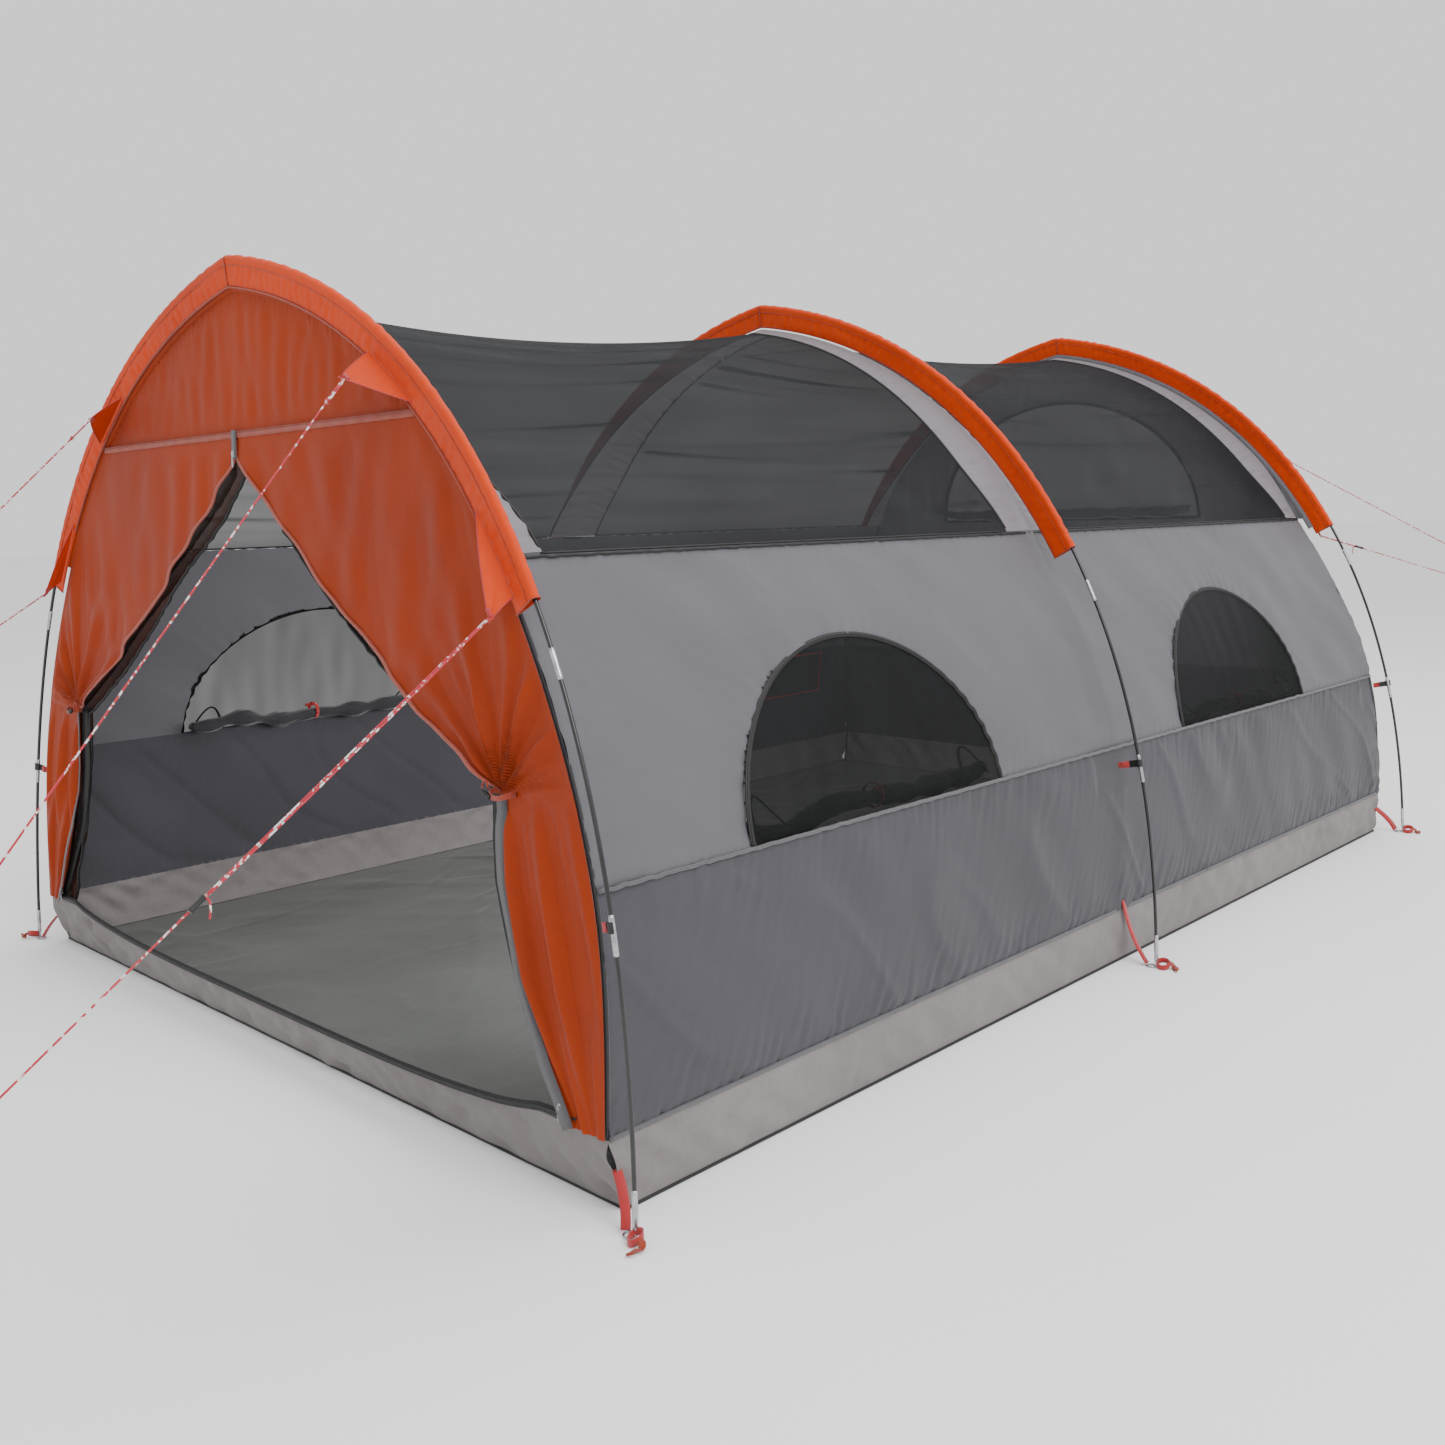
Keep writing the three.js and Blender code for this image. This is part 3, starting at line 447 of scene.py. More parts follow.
class Hoop:
    """One arch in its leaning plane, from the left foot (s = 0) over the apex to the right (s = 1)."""

    def __init__(self, feet_y, apex_z, half_span, lean):
        self.feet_y, self.apex_z, self.half_span, self.lean = feet_y, apex_z, half_span, lean
        t = np.linspace(0, 1, 600)
        x, z = self.half(t)
        xs = np.concatenate([-x, x[::-1][1:]])
        zs = np.concatenate([z, z[::-1][1:]])
        run = np.concatenate([[0], np.cumsum(np.hypot(np.diff(xs), np.diff(zs)))])
        self.length = run[-1]
        self.t_run = run[:600] / self.length
        self.s = np.linspace(0, 1, 1201)
        self.x = np.interp(self.s * self.length, run, xs)
        self.z = np.interp(self.s * self.length, run, zs)
        near_top = np.abs(self.s - 0.5) < 0.02
        kernel = np.hanning(17)
        kernel /= kernel.sum()
        self.z[near_top] = np.convolve(self.z, kernel, "same")[near_top]
        dx, dz = np.gradient(self.x), np.gradient(self.z)
        size = np.hypot(dx, dz)
        self.nx, self.nz = -dz / size, dx / size

    def half(self, t):
        w, h = self.half_span, self.apex_z
        p = [(w, 0), (w * (1 - SHAPE["knee_in"]), h * SHAPE["knee_up"]),
             (w * SHAPE["shoulder_out"], h * (1 - SHAPE["shoulder_down"])), (0, h)]
        b = [(1 - t) ** 3, 3 * (1 - t) ** 2 * t, 3 * (1 - t) * t * t, t ** 3]
        return sum(k * q[0] for k, q in zip(b, p)), sum(k * q[1] for k, q in zip(b, p))

    def s_of(self, side, t):
        s = np.interp(t, np.linspace(0, 1, 600), self.t_run)
        return s if side < 0 else 1 - s

    def plane_y(self, z):
        return self.feet_y + self.lean * z / self.apex_z

    def at(self, s, out=0.0, across=0.0):
        """A point by the hoop: outward in its plane, and along Y across it."""
        s, out, across = np.broadcast_arrays(np.asarray(s, float), out, across)
        x = np.interp(s, self.s, self.x) + np.interp(s, self.s, self.nx) * out
        z = np.interp(s, self.s, self.z) + np.interp(s, self.s, self.nz) * out
        return np.stack([x, self.plane_y(z) + across, z], -1)

    def s_at_height(self, z, out, side):
        """Where the hoop, offset outward, passes height z on one side."""
        s = np.linspace(0, 0.5, 1500)
        heights = self.at(s, out)[:, 2]
        found = np.interp(z, heights, s)
        return found if side < 0 else 1 - found

    def tangent(self, s):
        a, b = self.at(s - 1e-3), self.at(s + 1e-3)
        return (b - a) / np.linalg.norm(b - a)


HOOPS = {
    "front": Hoop(-2.125, 2.000, 1.480, 0.094),
    "middle": Hoop(-0.065, 2.054, 1.500, -0.014),
    "rear": Hoop(2.125, 2.087, 1.480, -0.227),
}
SIDES = {"left": -1, "right": 1}
SLEEVE_END_T = 0.415
MID_SEAM_Z = 0.645
WALL_TOP_Z = 1.275
TUB_Z = 0.160
DOOR_SEAM_Z = 1.575
DOOR_PEAK_Z = 1.520

PROFILE_Z = np.array([0, 0.160, 0.645, 0.860, 1.080, 1.275])
PROFILE_X = np.array([1.385, 1.388, 1.352, 1.284, 1.180, 1.064])


def half_width(z):
    """Half the width of the cloth body at height z, as a smooth curve."""
    slope = np.gradient(PROFILE_X, PROFILE_Z)
    z = np.clip(np.asarray(z, float), 0, WALL_TOP_Z)
    i = np.clip(np.searchsorted(PROFILE_Z, z, side="right") - 1, 0, len(PROFILE_Z) - 2)
    h = PROFILE_Z[i + 1] - PROFILE_Z[i]
    t = (z - PROFILE_Z[i]) / h
    return ((2 * t ** 3 - 3 * t ** 2 + 1) * PROFILE_X[i] + (t ** 3 - 2 * t ** 2 + t) * h * slope[i]
            + (3 * t ** 2 - 2 * t ** 3) * PROFILE_X[i + 1] + (t ** 3 - t ** 2) * h * slope[i + 1])


def end_wall_y(end, z):
    inward = 1 if end == "front" else -1
    near_ground = np.maximum(0, 1 - z / TUB_Z)
    return HOOPS[end].plane_y(z) + inward * (0.012 + 0.048 * near_ground)


CLIP_T, CLIP_Z = 0.184, 0.590
CLIP_SEAM_Y = {"front": float(end_wall_y("front", CLIP_Z)) + 0.004, "middle": HOOPS["middle"].plane_y(CLIP_Z),
               "rear": float(end_wall_y("rear", CLIP_Z)) - 0.004}

# ---- Cords (first, with the camera) ------------------------------------------

CORD_R = 0.002
EYES = {
    "front": {"upper": (0.660, -2.130, 1.655), "lower": (1.124, -2.128, 1.162)},
    "rear": {"upper": (0.600, 2.020, 1.735), "lower": (1.120, 2.080, 1.205)},
}
LINES = {
    "guy_front_right_upper": ("front", 1, "upper", (0.892, -2.994, 0.780)),
    "guy_front_right_lower": ("front", 1, "lower", (1.112, -3.096, 0.482)),
    "guy_front_left_upper": ("front", -1, "upper", (-0.733, -2.400, 1.381)),
    "guy_front_left_lower": ("front", -1, "lower", (-1.125, -2.302, 1.054)),
    "guy_rear_right_upper": ("rear", 1, "upper", (1.422, 2.847, 1.118)),
    "guy_rear_right_lower": ("rear", 1, "lower", (1.480, 2.650, 1.012)),
}
RUNNERS = {
    "runner_front_right": ("guy_front_right_lower", 0.752, 0.25),
    "runner_rear_right": ("guy_rear_right_lower", 0.190, 0.10),
}
EYE_CLEAR = 0.006


def route(line):
    end, side, level, knot = LINES[line]
    x, y, z = EYES[end][level]
    eye = np.array([side * x, y, z])
    knot = np.array(knot)
    direction = (knot - eye) / np.linalg.norm(knot - eye)
    return eye + direction * EYE_CLEAR, knot, direction


def across_of(direction):
    across = np.cross([0, 0, 1], direction)
    return across / np.linalg.norm(across)


def cord_piece(name, path, body="tent", replaces=()):
    points, faces = tube_mesh(path, CORD_R, sides=8)
    made = piece(name, points, faces, "guy_cord", body=body, replaces=replaces)
    return made


def knot_piece(name, at, direction, body="tent"):
    """A small wound knot: a helix of cord round the line."""
    turns = np.linspace(0, 1, 40)
    across = across_of(direction)
    up = np.cross(direction, across)
    angle = turns * 3 * 2 * math.pi
    path = (at + direction * (turns[:, None] - 0.5) * 0.010
            + (across * np.cos(angle)[:, None] + up * np.sin(angle)[:, None]) * 0.0036)
    points, faces = tube_mesh(path, 0.0018, sides=6)
    return piece(name, points, faces, "guy_cord", body=body)


for line in LINES:
    start, knot, direction = route(line)
    steps = np.linspace(0, 1, 24)[:, None]
    path = start + (knot - start) * steps
    knots = [knot_piece(f"{line}_end_knot", knot - direction * 0.006, direction)]
    cord_piece(line + "_cord", path, replaces=(line,))

for name, (line, along, travel) in RUNNERS.items():
    start, knot, direction = route(line)
    across = across_of(direction)
    steps = np.linspace(0, 1, 30)[:, None]
    end = start + direction * (along - 0.017)
    bow = across * (0.0046 + 0.006 * np.sin(math.pi * steps) ** 0.7)
    path = start + (end - start) * steps + bow
    strand = cord_piece(f"{line}_return_cord", path)
    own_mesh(strand)
    drop = np.array([0, 0, -1.0])
    tail = np.array([end + across * 0.0066,
                     end + across * 0.012 + drop * 0.009 - direction * 0.004,
                     end + across * 0.014 + drop * 0.022 - direction * 0.003,
                     end + across * 0.013 + drop * 0.036])
    fine = np.linspace(0, 3, 16)
    tail = np.stack([np.interp(fine, range(4), tail[:, k]) for k in range(3)], -1)
    points, faces = tube_mesh(tail, CORD_R, sides=8)
    tail_piece = piece(f"{name}_tail_cord", points, faces, "guy_cord", body=name)

# Upper lines start as a short doubled loop; the second strand lies beside the first.
for line in ("guy_front_right_upper", "guy_front_left_upper", "guy_rear_right_upper"):
    start, _, direction = route(line)
    across = across_of(direction)
    steps = np.linspace(0, 1, 20)[:, None]
    path = start + direction * 0.062 * steps + across * (0.0043 + 0.003 * np.sin(math.pi * steps))
    knots = [knot_piece(f"{line}_loop_knot", start + direction * 0.068, direction)]
    cord_piece(f"{line}_loop_cord", path)

# ---- Floor and tub -----------------------------------------------------------

FABRIC = 0.004


def sag_lines(x, y, seed):
    """Long soft wrinkles that run from the corners of the floor."""
    return (ripples(x, y, seed, 0.34, 2.4, turn_by=0.5)
            + ripples(x, y, seed + 1, 0.30, 2.0, turn_by=-0.9)) / 2


FLOOR_HALF_X = 1.3825
FLOOR_INSET = 0.0025
FLOOR_Z = 0.0035
front_edge = float(end_wall_y("front", 0.0)) + FLOOR_INSET
rear_edge = float(end_wall_y("rear", 0.0)) - FLOOR_INSET
x, y = np.meshgrid(np.linspace(-FLOOR_HALF_X, FLOOR_HALF_X, 260), np.linspace(front_edge, rear_edge, 380),
                   indexing="ij")
rim = np.minimum(FLOOR_HALF_X - np.abs(x), np.minimum(y - front_edge, rear_edge - y))
wrinkles = 0
for seed, turn_by in ((12, 0.75), (16, -0.6), (19, 0.1)):
    present = np.clip(ripples(x, y, seed + 1, 1.3, 1.6) - 0.1, 0, 1)
    wrinkles = wrinkles + present * crease_lines(ripples(x, y, seed, 0.75, 2.6, turn_by=turn_by, skew=0.25))
lift = 0.002 + smoothstep(rim, 0, 0.20) * (0.004 * np.clip(sag_lines(x, y, 11), 0, 2) + 0.0055 * wrinkles)
sheet("floor_cloth", joined(x, y, FLOOR_Z), "groundsheet", push=np.maximum(lift, 0.0005),
      replaces=["floor_sheet"])


def sill_dip(x):
    return 0.055 * np.maximum(0, 1 - (x / 1.18) ** 4)


def tub_wall(name, low, high, outward, seed):
    """One side of the tub, from its foot to its rim, with creases that fan from the corners."""
    v = np.linspace(0, 1, 22)
    grid = low[:, None, :] + (high - low)[:, None, :] * v[None, :, None]
    run = np.concatenate([[0], np.cumsum(np.linalg.norm(np.diff(low, axis=0), axis=1))])
    a, b = np.meshgrid(run, v * TUB_Z, indexing="ij")
    ends = np.minimum(a, run[-1] - a)
    corner = np.exp(-ends / 0.35)
    fan = ripples(a, b, seed, 0.10, 0.6, turn_by=0.85) + ripples(a, b, seed + 1, 0.13, 0.5, turn_by=-0.8)
    push = (0.0035 + 0.006 * corner) * sharpened(fan, 1.3) / 1.5
    push = push + 0.006 * np.sin(v * math.pi)[None, :]
    push = push * smoothstep(v, 0, 0.15)[None, :] * smoothstep(1 - v, 0, 0.12)[None, :]
    facing = np.sign(np.sum(normals_of(grid) * np.asarray(outward, float), axis=2).mean())
    sheet(name, grid, "tub_cloth", push=push * facing, replaces=["tub_band"])


TUB_FOOT_Z = 0.002
FOOT_X, RIM_X = PROFILE_X[0], PROFILE_X[1]
for side_name, side in SIDES.items():
    y = np.linspace(end_wall_y("front", 0.0), end_wall_y("rear", 0.0), 260)
    y_rim = np.linspace(end_wall_y("front", TUB_Z), end_wall_y("rear", TUB_Z), 260)
    tub_wall(f"tub_{side_name}", joined(side * FOOT_X, y, TUB_FOOT_Z), joined(side * RIM_X, y_rim, TUB_Z),
             (side, 0, 0), 20 + side)
x = np.linspace(-FOOT_X, FOOT_X, 200)
for end, way in (("front", -1), ("rear", 1)):
    top_z = TUB_Z - (sill_dip(x) if end == "front" else 0 * x)
    tub_wall(f"tub_{end}", joined(x, end_wall_y(end, 0.0), TUB_FOOT_Z),
             joined(x * RIM_X / FOOT_X, end_wall_y(end, top_z), top_z), (0, way, 0), 30 + way)

# ---- Side walls, with their half-moon windows --------------------------------

WINDOWS = {"front": -1.155, "rear": 0.865}
WINDOW_A, WINDOW_B = 0.485, 0.410


def side_wall_grid(side, z, columns):
    u = np.linspace(0, 1, columns)[:, None]
    y0, y1 = end_wall_y("front", z) + FABRIC, end_wall_y("rear", z)
    y = y0[None, :] + (y1 - y0)[None, :] * u
    return joined(side * half_width(z)[None, :], y, z[None, :])


def window_reach(grid, centre):
    """1 on a window's edge, less inside it."""
    return np.hypot((grid[..., 1] - centre) / WINDOW_A, np.maximum(grid[..., 2] - MID_SEAM_Z, 0) / WINDOW_B)


def fitted_to_edge(grid, inside, moved):
    """Moves the points shared by cells inside and outside an outline onto it."""
    rows, columns = grid.shape[:2]
    touched_in = np.zeros((rows, columns), bool)
    touched_out = np.zeros((rows, columns), bool)
    for di in (0, 1):
        for dj in (0, 1):
            touched_in[di:rows - 1 + di, dj:columns - 1 + dj] |= inside
            touched_out[di:rows - 1 + di, dj:columns - 1 + dj] |= ~inside
    both = touched_in & touched_out
    grid[both] = moved[both]
    return grid


CLIP_RECESS = 0.005  # how far the wall stands back where a clip's web swings over it


def wall_push(grid, seed, height, gather_depth, crease_depth):
    """Pulls and shallow creases of a side wall: fine gathers at both seams, and slack between."""
    y, z = grid[..., 1], grid[..., 2]
    low, high = z.min(), z.max()
    from_low, from_high = z - low, high - z
    slack = 0.5 * ripples(y, z, seed, 0.9, 1.2) + 0.6 * ripples(y, z, seed + 1, 0.28, 0.9, turn_by=0.7)
    gathers = ripples(y, z, seed + 2, 0.036, 0.40, turn_by=-0.35) * (
        np.exp(-from_low / gather_depth) + 0.8 * np.exp(-from_high / gather_depth))
    free = smoothstep(from_low, 0, 0.05) * smoothstep(from_high, 0, 0.05)
    slack = slack + crease_depth * crease_lines(ripples(y, z, seed + 5, 0.60, 1.6, turn_by=0.8), 0.16)
    push = 0.006 * slack * free + height * gathers
    hoop = bell(y, HOOPS["middle"].plane_y(z), 0.05)
    corners = np.exp(-np.minimum(y - y.min(), y.max() - y) / 0.10)
    push = push + 0.006 * hoop + 0.003 * corners * ripples(y, z, seed + 3, 0.5, 0.09)
    for clip_y in CLIP_SEAM_Y.values():
        near_clip = (smoothstep(0.15 - np.abs(y - clip_y), 0, 0.04)
                     * smoothstep(0.075 - np.abs(z - CLIP_Z), 0, 0.03))
        push = push * (1 - near_clip) - CLIP_RECESS * near_clip
    return push


for side_name, side in SIDES.items():
    z = np.linspace(TUB_Z, MID_SEAM_Z, 42)
    grid = side_wall_grid(side, z, 420)
    facing = np.sign((normals_of(grid)[..., 0] * side).mean())
    push = facing * wall_push(grid, 40 + side, 0.0030, 0.085, 0.85)
    sheet(f"cloth_{side_name}_lower", grid, "lower_wall", push=push,
          replaces=[f"wall_{side_name}_lower"])

    z = np.linspace(MID_SEAM_Z, WALL_TOP_Z, 62)
    grid = side_wall_grid(side, z, 430)
    push = facing * wall_push(grid, 50 + side, 0.0014, 0.045, 0.18)
    centres = (grid[1:, 1:] + grid[:-1, :-1]) / 2
    keep = np.ones(centres.shape[:2], bool)
    for place, centre in WINDOWS.items():
        reach = window_reach(grid, centre)
        inside = window_reach(centres, centre) < 1
        scaled = grid.copy()
        scaled[..., 1] = centre + (grid[..., 1] - centre) / reach
        scaled[..., 2] = MID_SEAM_Z + (grid[..., 2] - MID_SEAM_Z) / reach
        scaled[..., 0] = side * half_width(scaled[..., 2])
        on_seam = grid[..., 2] <= MID_SEAM_Z + 1e-6
        scaled[on_seam, 0] = grid[on_seam, 0]
        fitted_to_edge(grid, inside, scaled)
        keep &= ~inside
        around = np.exp(-np.abs(reach - 1) / 0.10)
        angle = np.arctan2(grid[..., 2] - MID_SEAM_Z, grid[..., 1] - centre)
        push = push + facing * 0.0018 * around * np.sin(angle * 46 + 4 * np.sin(angle * 5))
    sheet(f"cloth_{side_name}_upper", grid, "upper_wall", push=push, keep=keep,
          replaces=[f"wall_{side_name}_upper"])
    for place, centre in WINDOWS.items():
        columns = (np.abs(grid[:, 0, 1] - centre) < WINDOW_A + 0.03).nonzero()[0]
        part = grid[columns[0]:columns[-1] + 1]
        centres = (part[1:, 1:] + part[:-1, :-1]) / 2
        inside = window_reach(centres, centre) < 1
        fold = 0.35 + 0.1 * ripples(part[..., 1], part[..., 2], 60 + side, 0.12, 0.7)
        slack = -0.004 * facing * (1 - np.clip(window_reach(part, centre), 0, 1)) * 2
        sheet(f"netting_{side_name}_{place}", part, "window_mesh", push=slack, keep=inside, fold=fold,
              replaces=[f"window_screen_{side_name}_{place}"])


def on_side_wall(side, y, z, out=0.0):
    """A point on a side wall, a distance out from it."""
    y, z, out = np.broadcast_arrays(np.asarray(y, float), z, out)
    slope = (half_width(z + 0.01) - half_width(z - 0.01)) / 0.02
    size = np.hypot(1, slope)
    return np.stack([side * (half_width(z) + out / size), y, z - out * slope / size], -1)


ROLL_SIDES = 22
ROLL_IN = -0.044  # the rolled cover's core, behind the wall

for side_name, side in SIDES.items():
    tapes, rolls, toggles = [], [], []
    for place, centre in WINDOWS.items():
        turn_by = np.linspace(-0.01, math.pi + 0.01, 110)
        wobble = 0.004 * bell(turn_by, 0.35 if side > 0 else 2.8, 0.35) * np.sin(turn_by * 60)
        y = centre + (WINDOW_A - 0.004 + wobble) * np.cos(turn_by)
        z = MID_SEAM_Z + 0.004 + (WINDOW_B - 0.006 + wobble) * np.sin(turn_by)
        path = on_side_wall(side, y, z, 0.002)
        radial = on_side_wall(side, y + np.cos(turn_by) * 0.01, z + np.sin(turn_by) * 0.01, 0.002) - path
        tapes.append(ribbon_mesh(path, radial, 0.013, 0.003))
        tapes.append(tube_mesh(on_side_wall(side, y, z, 0.0035), 0.0024, 6))
        # The cover, rolled down along the window's foot inside the tent.
        along = np.linspace(-WINDOW_A * 0.97, WINDOW_A * 0.97, 90)
        rng = np.random.default_rng(70 + side + int(centre > 0))
        bulge = ripples(along, along * 0, 71 + side, 0.16, 1.0)
        ends = np.clip((WINDOW_A - np.abs(along)) / 0.10, 0, 1) ** 0.6
        thick = (0.030 + 0.006 * bulge) * (0.45 + 0.55 * ends)
        thick = thick * (1 - 0.28 * bell(along, 0.0, 0.03))
        mid_z = MID_SEAM_Z + 0.028 + 0.012 * ripples(along, along * 0, 75 + side, 0.45, 1.0)
        mid_z = mid_z + 0.035 * (1 - ends)
        core = on_side_wall(side, centre + along, mid_z, ROLL_IN)
        points, faces = tube_mesh(core, thick, ROLL_SIDES, 0.72, start=(0, 0, 1))
        middle = np.repeat(core, ROLL_SIDES, axis=0)
        swirl = np.tile(np.linspace(0, 2 * math.pi, ROLL_SIDES, endpoint=False), len(core))
        run = np.repeat(along, ROLL_SIDES)
        crumple = 1 + 0.16 * np.sin(swirl * 5 + run * 26 + rng.uniform(0, 6)) * np.cos(run * 17 + swirl * 2)
        rolls.append((middle + (points - middle) * crumple[:, None], faces))
        for sign in (-1, 1):
            steps = np.linspace(0, 1, 22)
            y = centre + sign * (WINDOW_A * (0.93 - 0.22 * steps))
            z = MID_SEAM_Z + 0.02 + 0.10 * np.sin(steps * math.pi) * (1 - 0.4 * steps)
            fold = on_side_wall(side, y, z, -0.012 - 0.035 * np.sin(steps * math.pi) ** 0.8)
            tapes.append(tube_mesh(fold, 0.0045, 6, 0.6))
        strap = np.linspace(0, 2 * math.pi, 26)
        held_x = on_side_wall(side, centre, MID_SEAM_Z + 0.028, ROLL_IN)[0]
        loop = joined(held_x + 0.030 * np.cos(strap), centre, MID_SEAM_Z + 0.028 + 0.030 * np.sin(strap))
        toggles.append(ribbon_mesh(loop, (0, 1, 0), 0.012, 0.002))
        peg = np.linspace(-0.020, 0.020, 9)
        bar = on_side_wall(side, centre + peg, MID_SEAM_Z + 0.052 + 0 * peg, -0.016)
        toggles.append(tube_mesh(bar, 0.0045 + 0.0015 * np.cos(peg * 70), 8))
    piece(f"window_zips_{side_name}", *gather(tapes), "zip_black")
    covers = piece(f"window_covers_{side_name}", *gather(rolls), "cover_cloth", slot="lower_wall")
    piece(f"window_toggles_{side_name}", *gather(toggles), "red_tape")

# Seams: narrow doubled cloth along the mid seam, the wall tops and the tub's rim, and piping.
for side_name, side in SIDES.items():
    seams, dark = [], []
    for z, drop in ((MID_SEAM_Z, 0.004), (WALL_TOP_Z - 0.004, 0.0)):
        y = np.linspace(float(end_wall_y("front", z)) + 0.006, float(end_wall_y("rear", z)) - 0.006, 300)
        wave = 0.0012 * ripples(y, y * 0, 80 + side, 0.05, 1.0)
        path = on_side_wall(side, y, z - drop + wave, 0.004)
        way = on_side_wall(side, y, z + 0.01, 0.004) - on_side_wall(side, y, z - 0.01, 0.004)
        (dark if z > 1 else seams).append(ribbon_mesh(path, way, 0.006 if z > 1 else 0.009, 0.0025))
    y = np.linspace(float(end_wall_y("front", TUB_Z)) + 0.003, float(end_wall_y("rear", TUB_Z)) - 0.003, 300)
    rim = joined(side * 1.3905, y, TUB_Z + 0.001)
    seams.append(ribbon_mesh(rim, (0, 0, 1), 0.010, 0.002))
    piece(f"wall_seams_{side_name}", *gather(seams), "grey_tape")
    piece(f"wall_top_binding_{side_name}", *gather(dark), "zip_black")
PIPING_X, PIPING_Z, PIPING_R = 1.3862, 0.0036, 0.0035
foot_ends = end_wall_y("front", 0.0), end_wall_y("rear", 0.0)
foot_paths = [joined(-PIPING_X, np.linspace(*foot_ends[::-1], 60), PIPING_Z),
              joined(PIPING_X, np.linspace(*foot_ends, 60), PIPING_Z)]
foot_paths += [joined(np.linspace(-PIPING_X, PIPING_X, 60), end_y, PIPING_Z) for end_y in foot_ends]
piping = [tube_mesh(path, PIPING_R, 8) for path in foot_paths]
piece("tub_piping", *gather(piping), "zip_black")

# ---- Bands and netting of the roof -------------------------------------------

CANOPY_OFFSET = -0.070
ROOF_START_Z = 1.279
BAND_WIDTH = 0.120
BAND_DROP = 0.045


def roof_range(hoop):
    low = float(hoop.s_at_height(ROOF_START_Z, CANOPY_OFFSET, -1))
    return low, 1 - low


def canopy(hoop, s, reach):
    """The canopy beside a hoop: it starts on the side wall and follows the sleeve's seam."""
    seam = hoop.at(s, CANOPY_OFFSET)
    risen = smoothstep(seam[..., 2], ROOF_START_Z, ROOF_START_Z + 0.26)
    reach = np.broadcast_to(np.asarray(reach, float), seam.shape[:-1])
    point = hoop.at(s, CANOPY_OFFSET - BAND_DROP * risen * np.abs(reach) / BAND_WIDTH, reach)
    low = roof_range(hoop)[0]
    start = abs(hoop.at(low, CANOPY_OFFSET)[0])
    point[..., 0] -= np.sign(point[..., 0]) * (start - PROFILE_X[-1]) * (1 - risen)
    return point


BAND_INNER = 0.016


def band_share(hoop, s):
    """The part of its full width that a band has: narrow over the top, full at the wall."""
    return 0.30 + 0.70 * smoothstep(np.abs(s - 0.5), 0.0, 0.5 - roof_range(hoop)[0])


def band(name, hoop, low, high, node, seed):
    s0, s1 = roof_range(hoop)
    s = np.linspace(s0, s1, 420)
    v = np.linspace(0, 1, 15)
    reach = low + (high - low) * v[None, :]
    share = band_share(hoop, s)[:, None]
    reach = np.sign(reach) * (BAND_INNER + (np.abs(reach) - BAND_INNER).clip(0) * share)
    grid = canopy(hoop, np.repeat(s[:, None], len(v), 1), reach)
    run = s[:, None] * hoop.length + 0 * reach
    puckers = ripples(run, reach, seed, 0.045, 0.30) * smoothstep(np.abs(reach), 0.010, 0.05)
    push = 0.003 * sharpened(puckers, 1.3)
    facing = np.sign(normals_of(grid)[len(s) // 2, 1:-1, 2].mean())
    sheet(name, grid, "band_cloth", push=facing * push,
          replaces=[node], spare=1.1)


def band_edge_reach(hoop, s, sign):
    return sign * (BAND_INNER + (BAND_WIDTH - BAND_INNER) * band_share(hoop, s))


band("band_front_cloth", HOOPS["front"], BAND_INNER, BAND_WIDTH, "band_front", 90)
band("band_middle_cloth", HOOPS["middle"], -BAND_WIDTH, BAND_WIDTH, "band_middle", 91)
band("band_rear_cloth", HOOPS["rear"], -BAND_WIDTH, -BAND_INNER, "band_rear", 92)


def netting_roof(name, first, second, sag, node, seed):
    """A saddle of netting between two bands, creased where the hoops pull it."""
    u = np.linspace(0, 1, 230)
    v = np.linspace(0, 1, 110)
    ends = []
    for hoop, sign in ((first, 1), (second, -1)):
        s0, s1 = roof_range(hoop)
        s = s0 + (s1 - s0) * u
        ends.append(canopy(hoop, s, band_edge_reach(hoop, s, sign)))
    grid = ends[0][:, None, :] * (1 - v)[None, :, None] + ends[1][:, None, :] * v[None, :, None]
    pull = sag * 4 * (v * (1 - v))[None, :] * (np.sin(math.pi * u) ** 0.8)[:, None]
    inward = np.stack([-grid[..., 0], np.zeros(grid.shape[:2]), 0.7 - grid[..., 2]], -1)
    inward /= np.linalg.norm(inward, axis=2, keepdims=True)
    grid = grid + inward * pull[..., None]
    a, b = np.meshgrid(u * 2.9, v * 1.9, indexing="ij")
    broad = ripples(a, b, seed, 0.26, 5.0, count=24, skew=0.03)
    narrow = ripples(a, b, seed + 1, 0.095, 6.0, count=24, turn_by=0.02, skew=0.018)
    held = smoothstep(v, 0, 0.04) * smoothstep(1 - v, 0, 0.04)
    away = smoothstep(u, 0, 0.05) * smoothstep(1 - u, 0, 0.05)
    strength = (0.35 + 0.65 * (2 * v - 1) ** 2)[None, :] * held[None, :] * away[:, None]
    creases = np.clip(narrow, 0, 2) ** 2.5 * strength
    push = 0.0024 * broad * held[None, :] * away[:, None] + 0.0014 * creases
    # Opacity of the roof netting: the crease term makes the creases less see-through, partly as denser
    # netting at a fold and partly as painted shade; the bell term is painted shade that darkens the roof
    # towards the top of the arch; the last term makes the netting denser by its lower edges.
    fold = 0.34 + 0.05 * broad + 0.30 * creases + 0.16 * bell(u, 0.5, 0.22)[:, None]
    fold = fold + 0.25 * np.exp(-np.minimum(u, 1 - u) / 0.012)[:, None]
    sheet(name, grid, "roof_mesh", push=push, fold=fold, replaces=[node])
    return grid


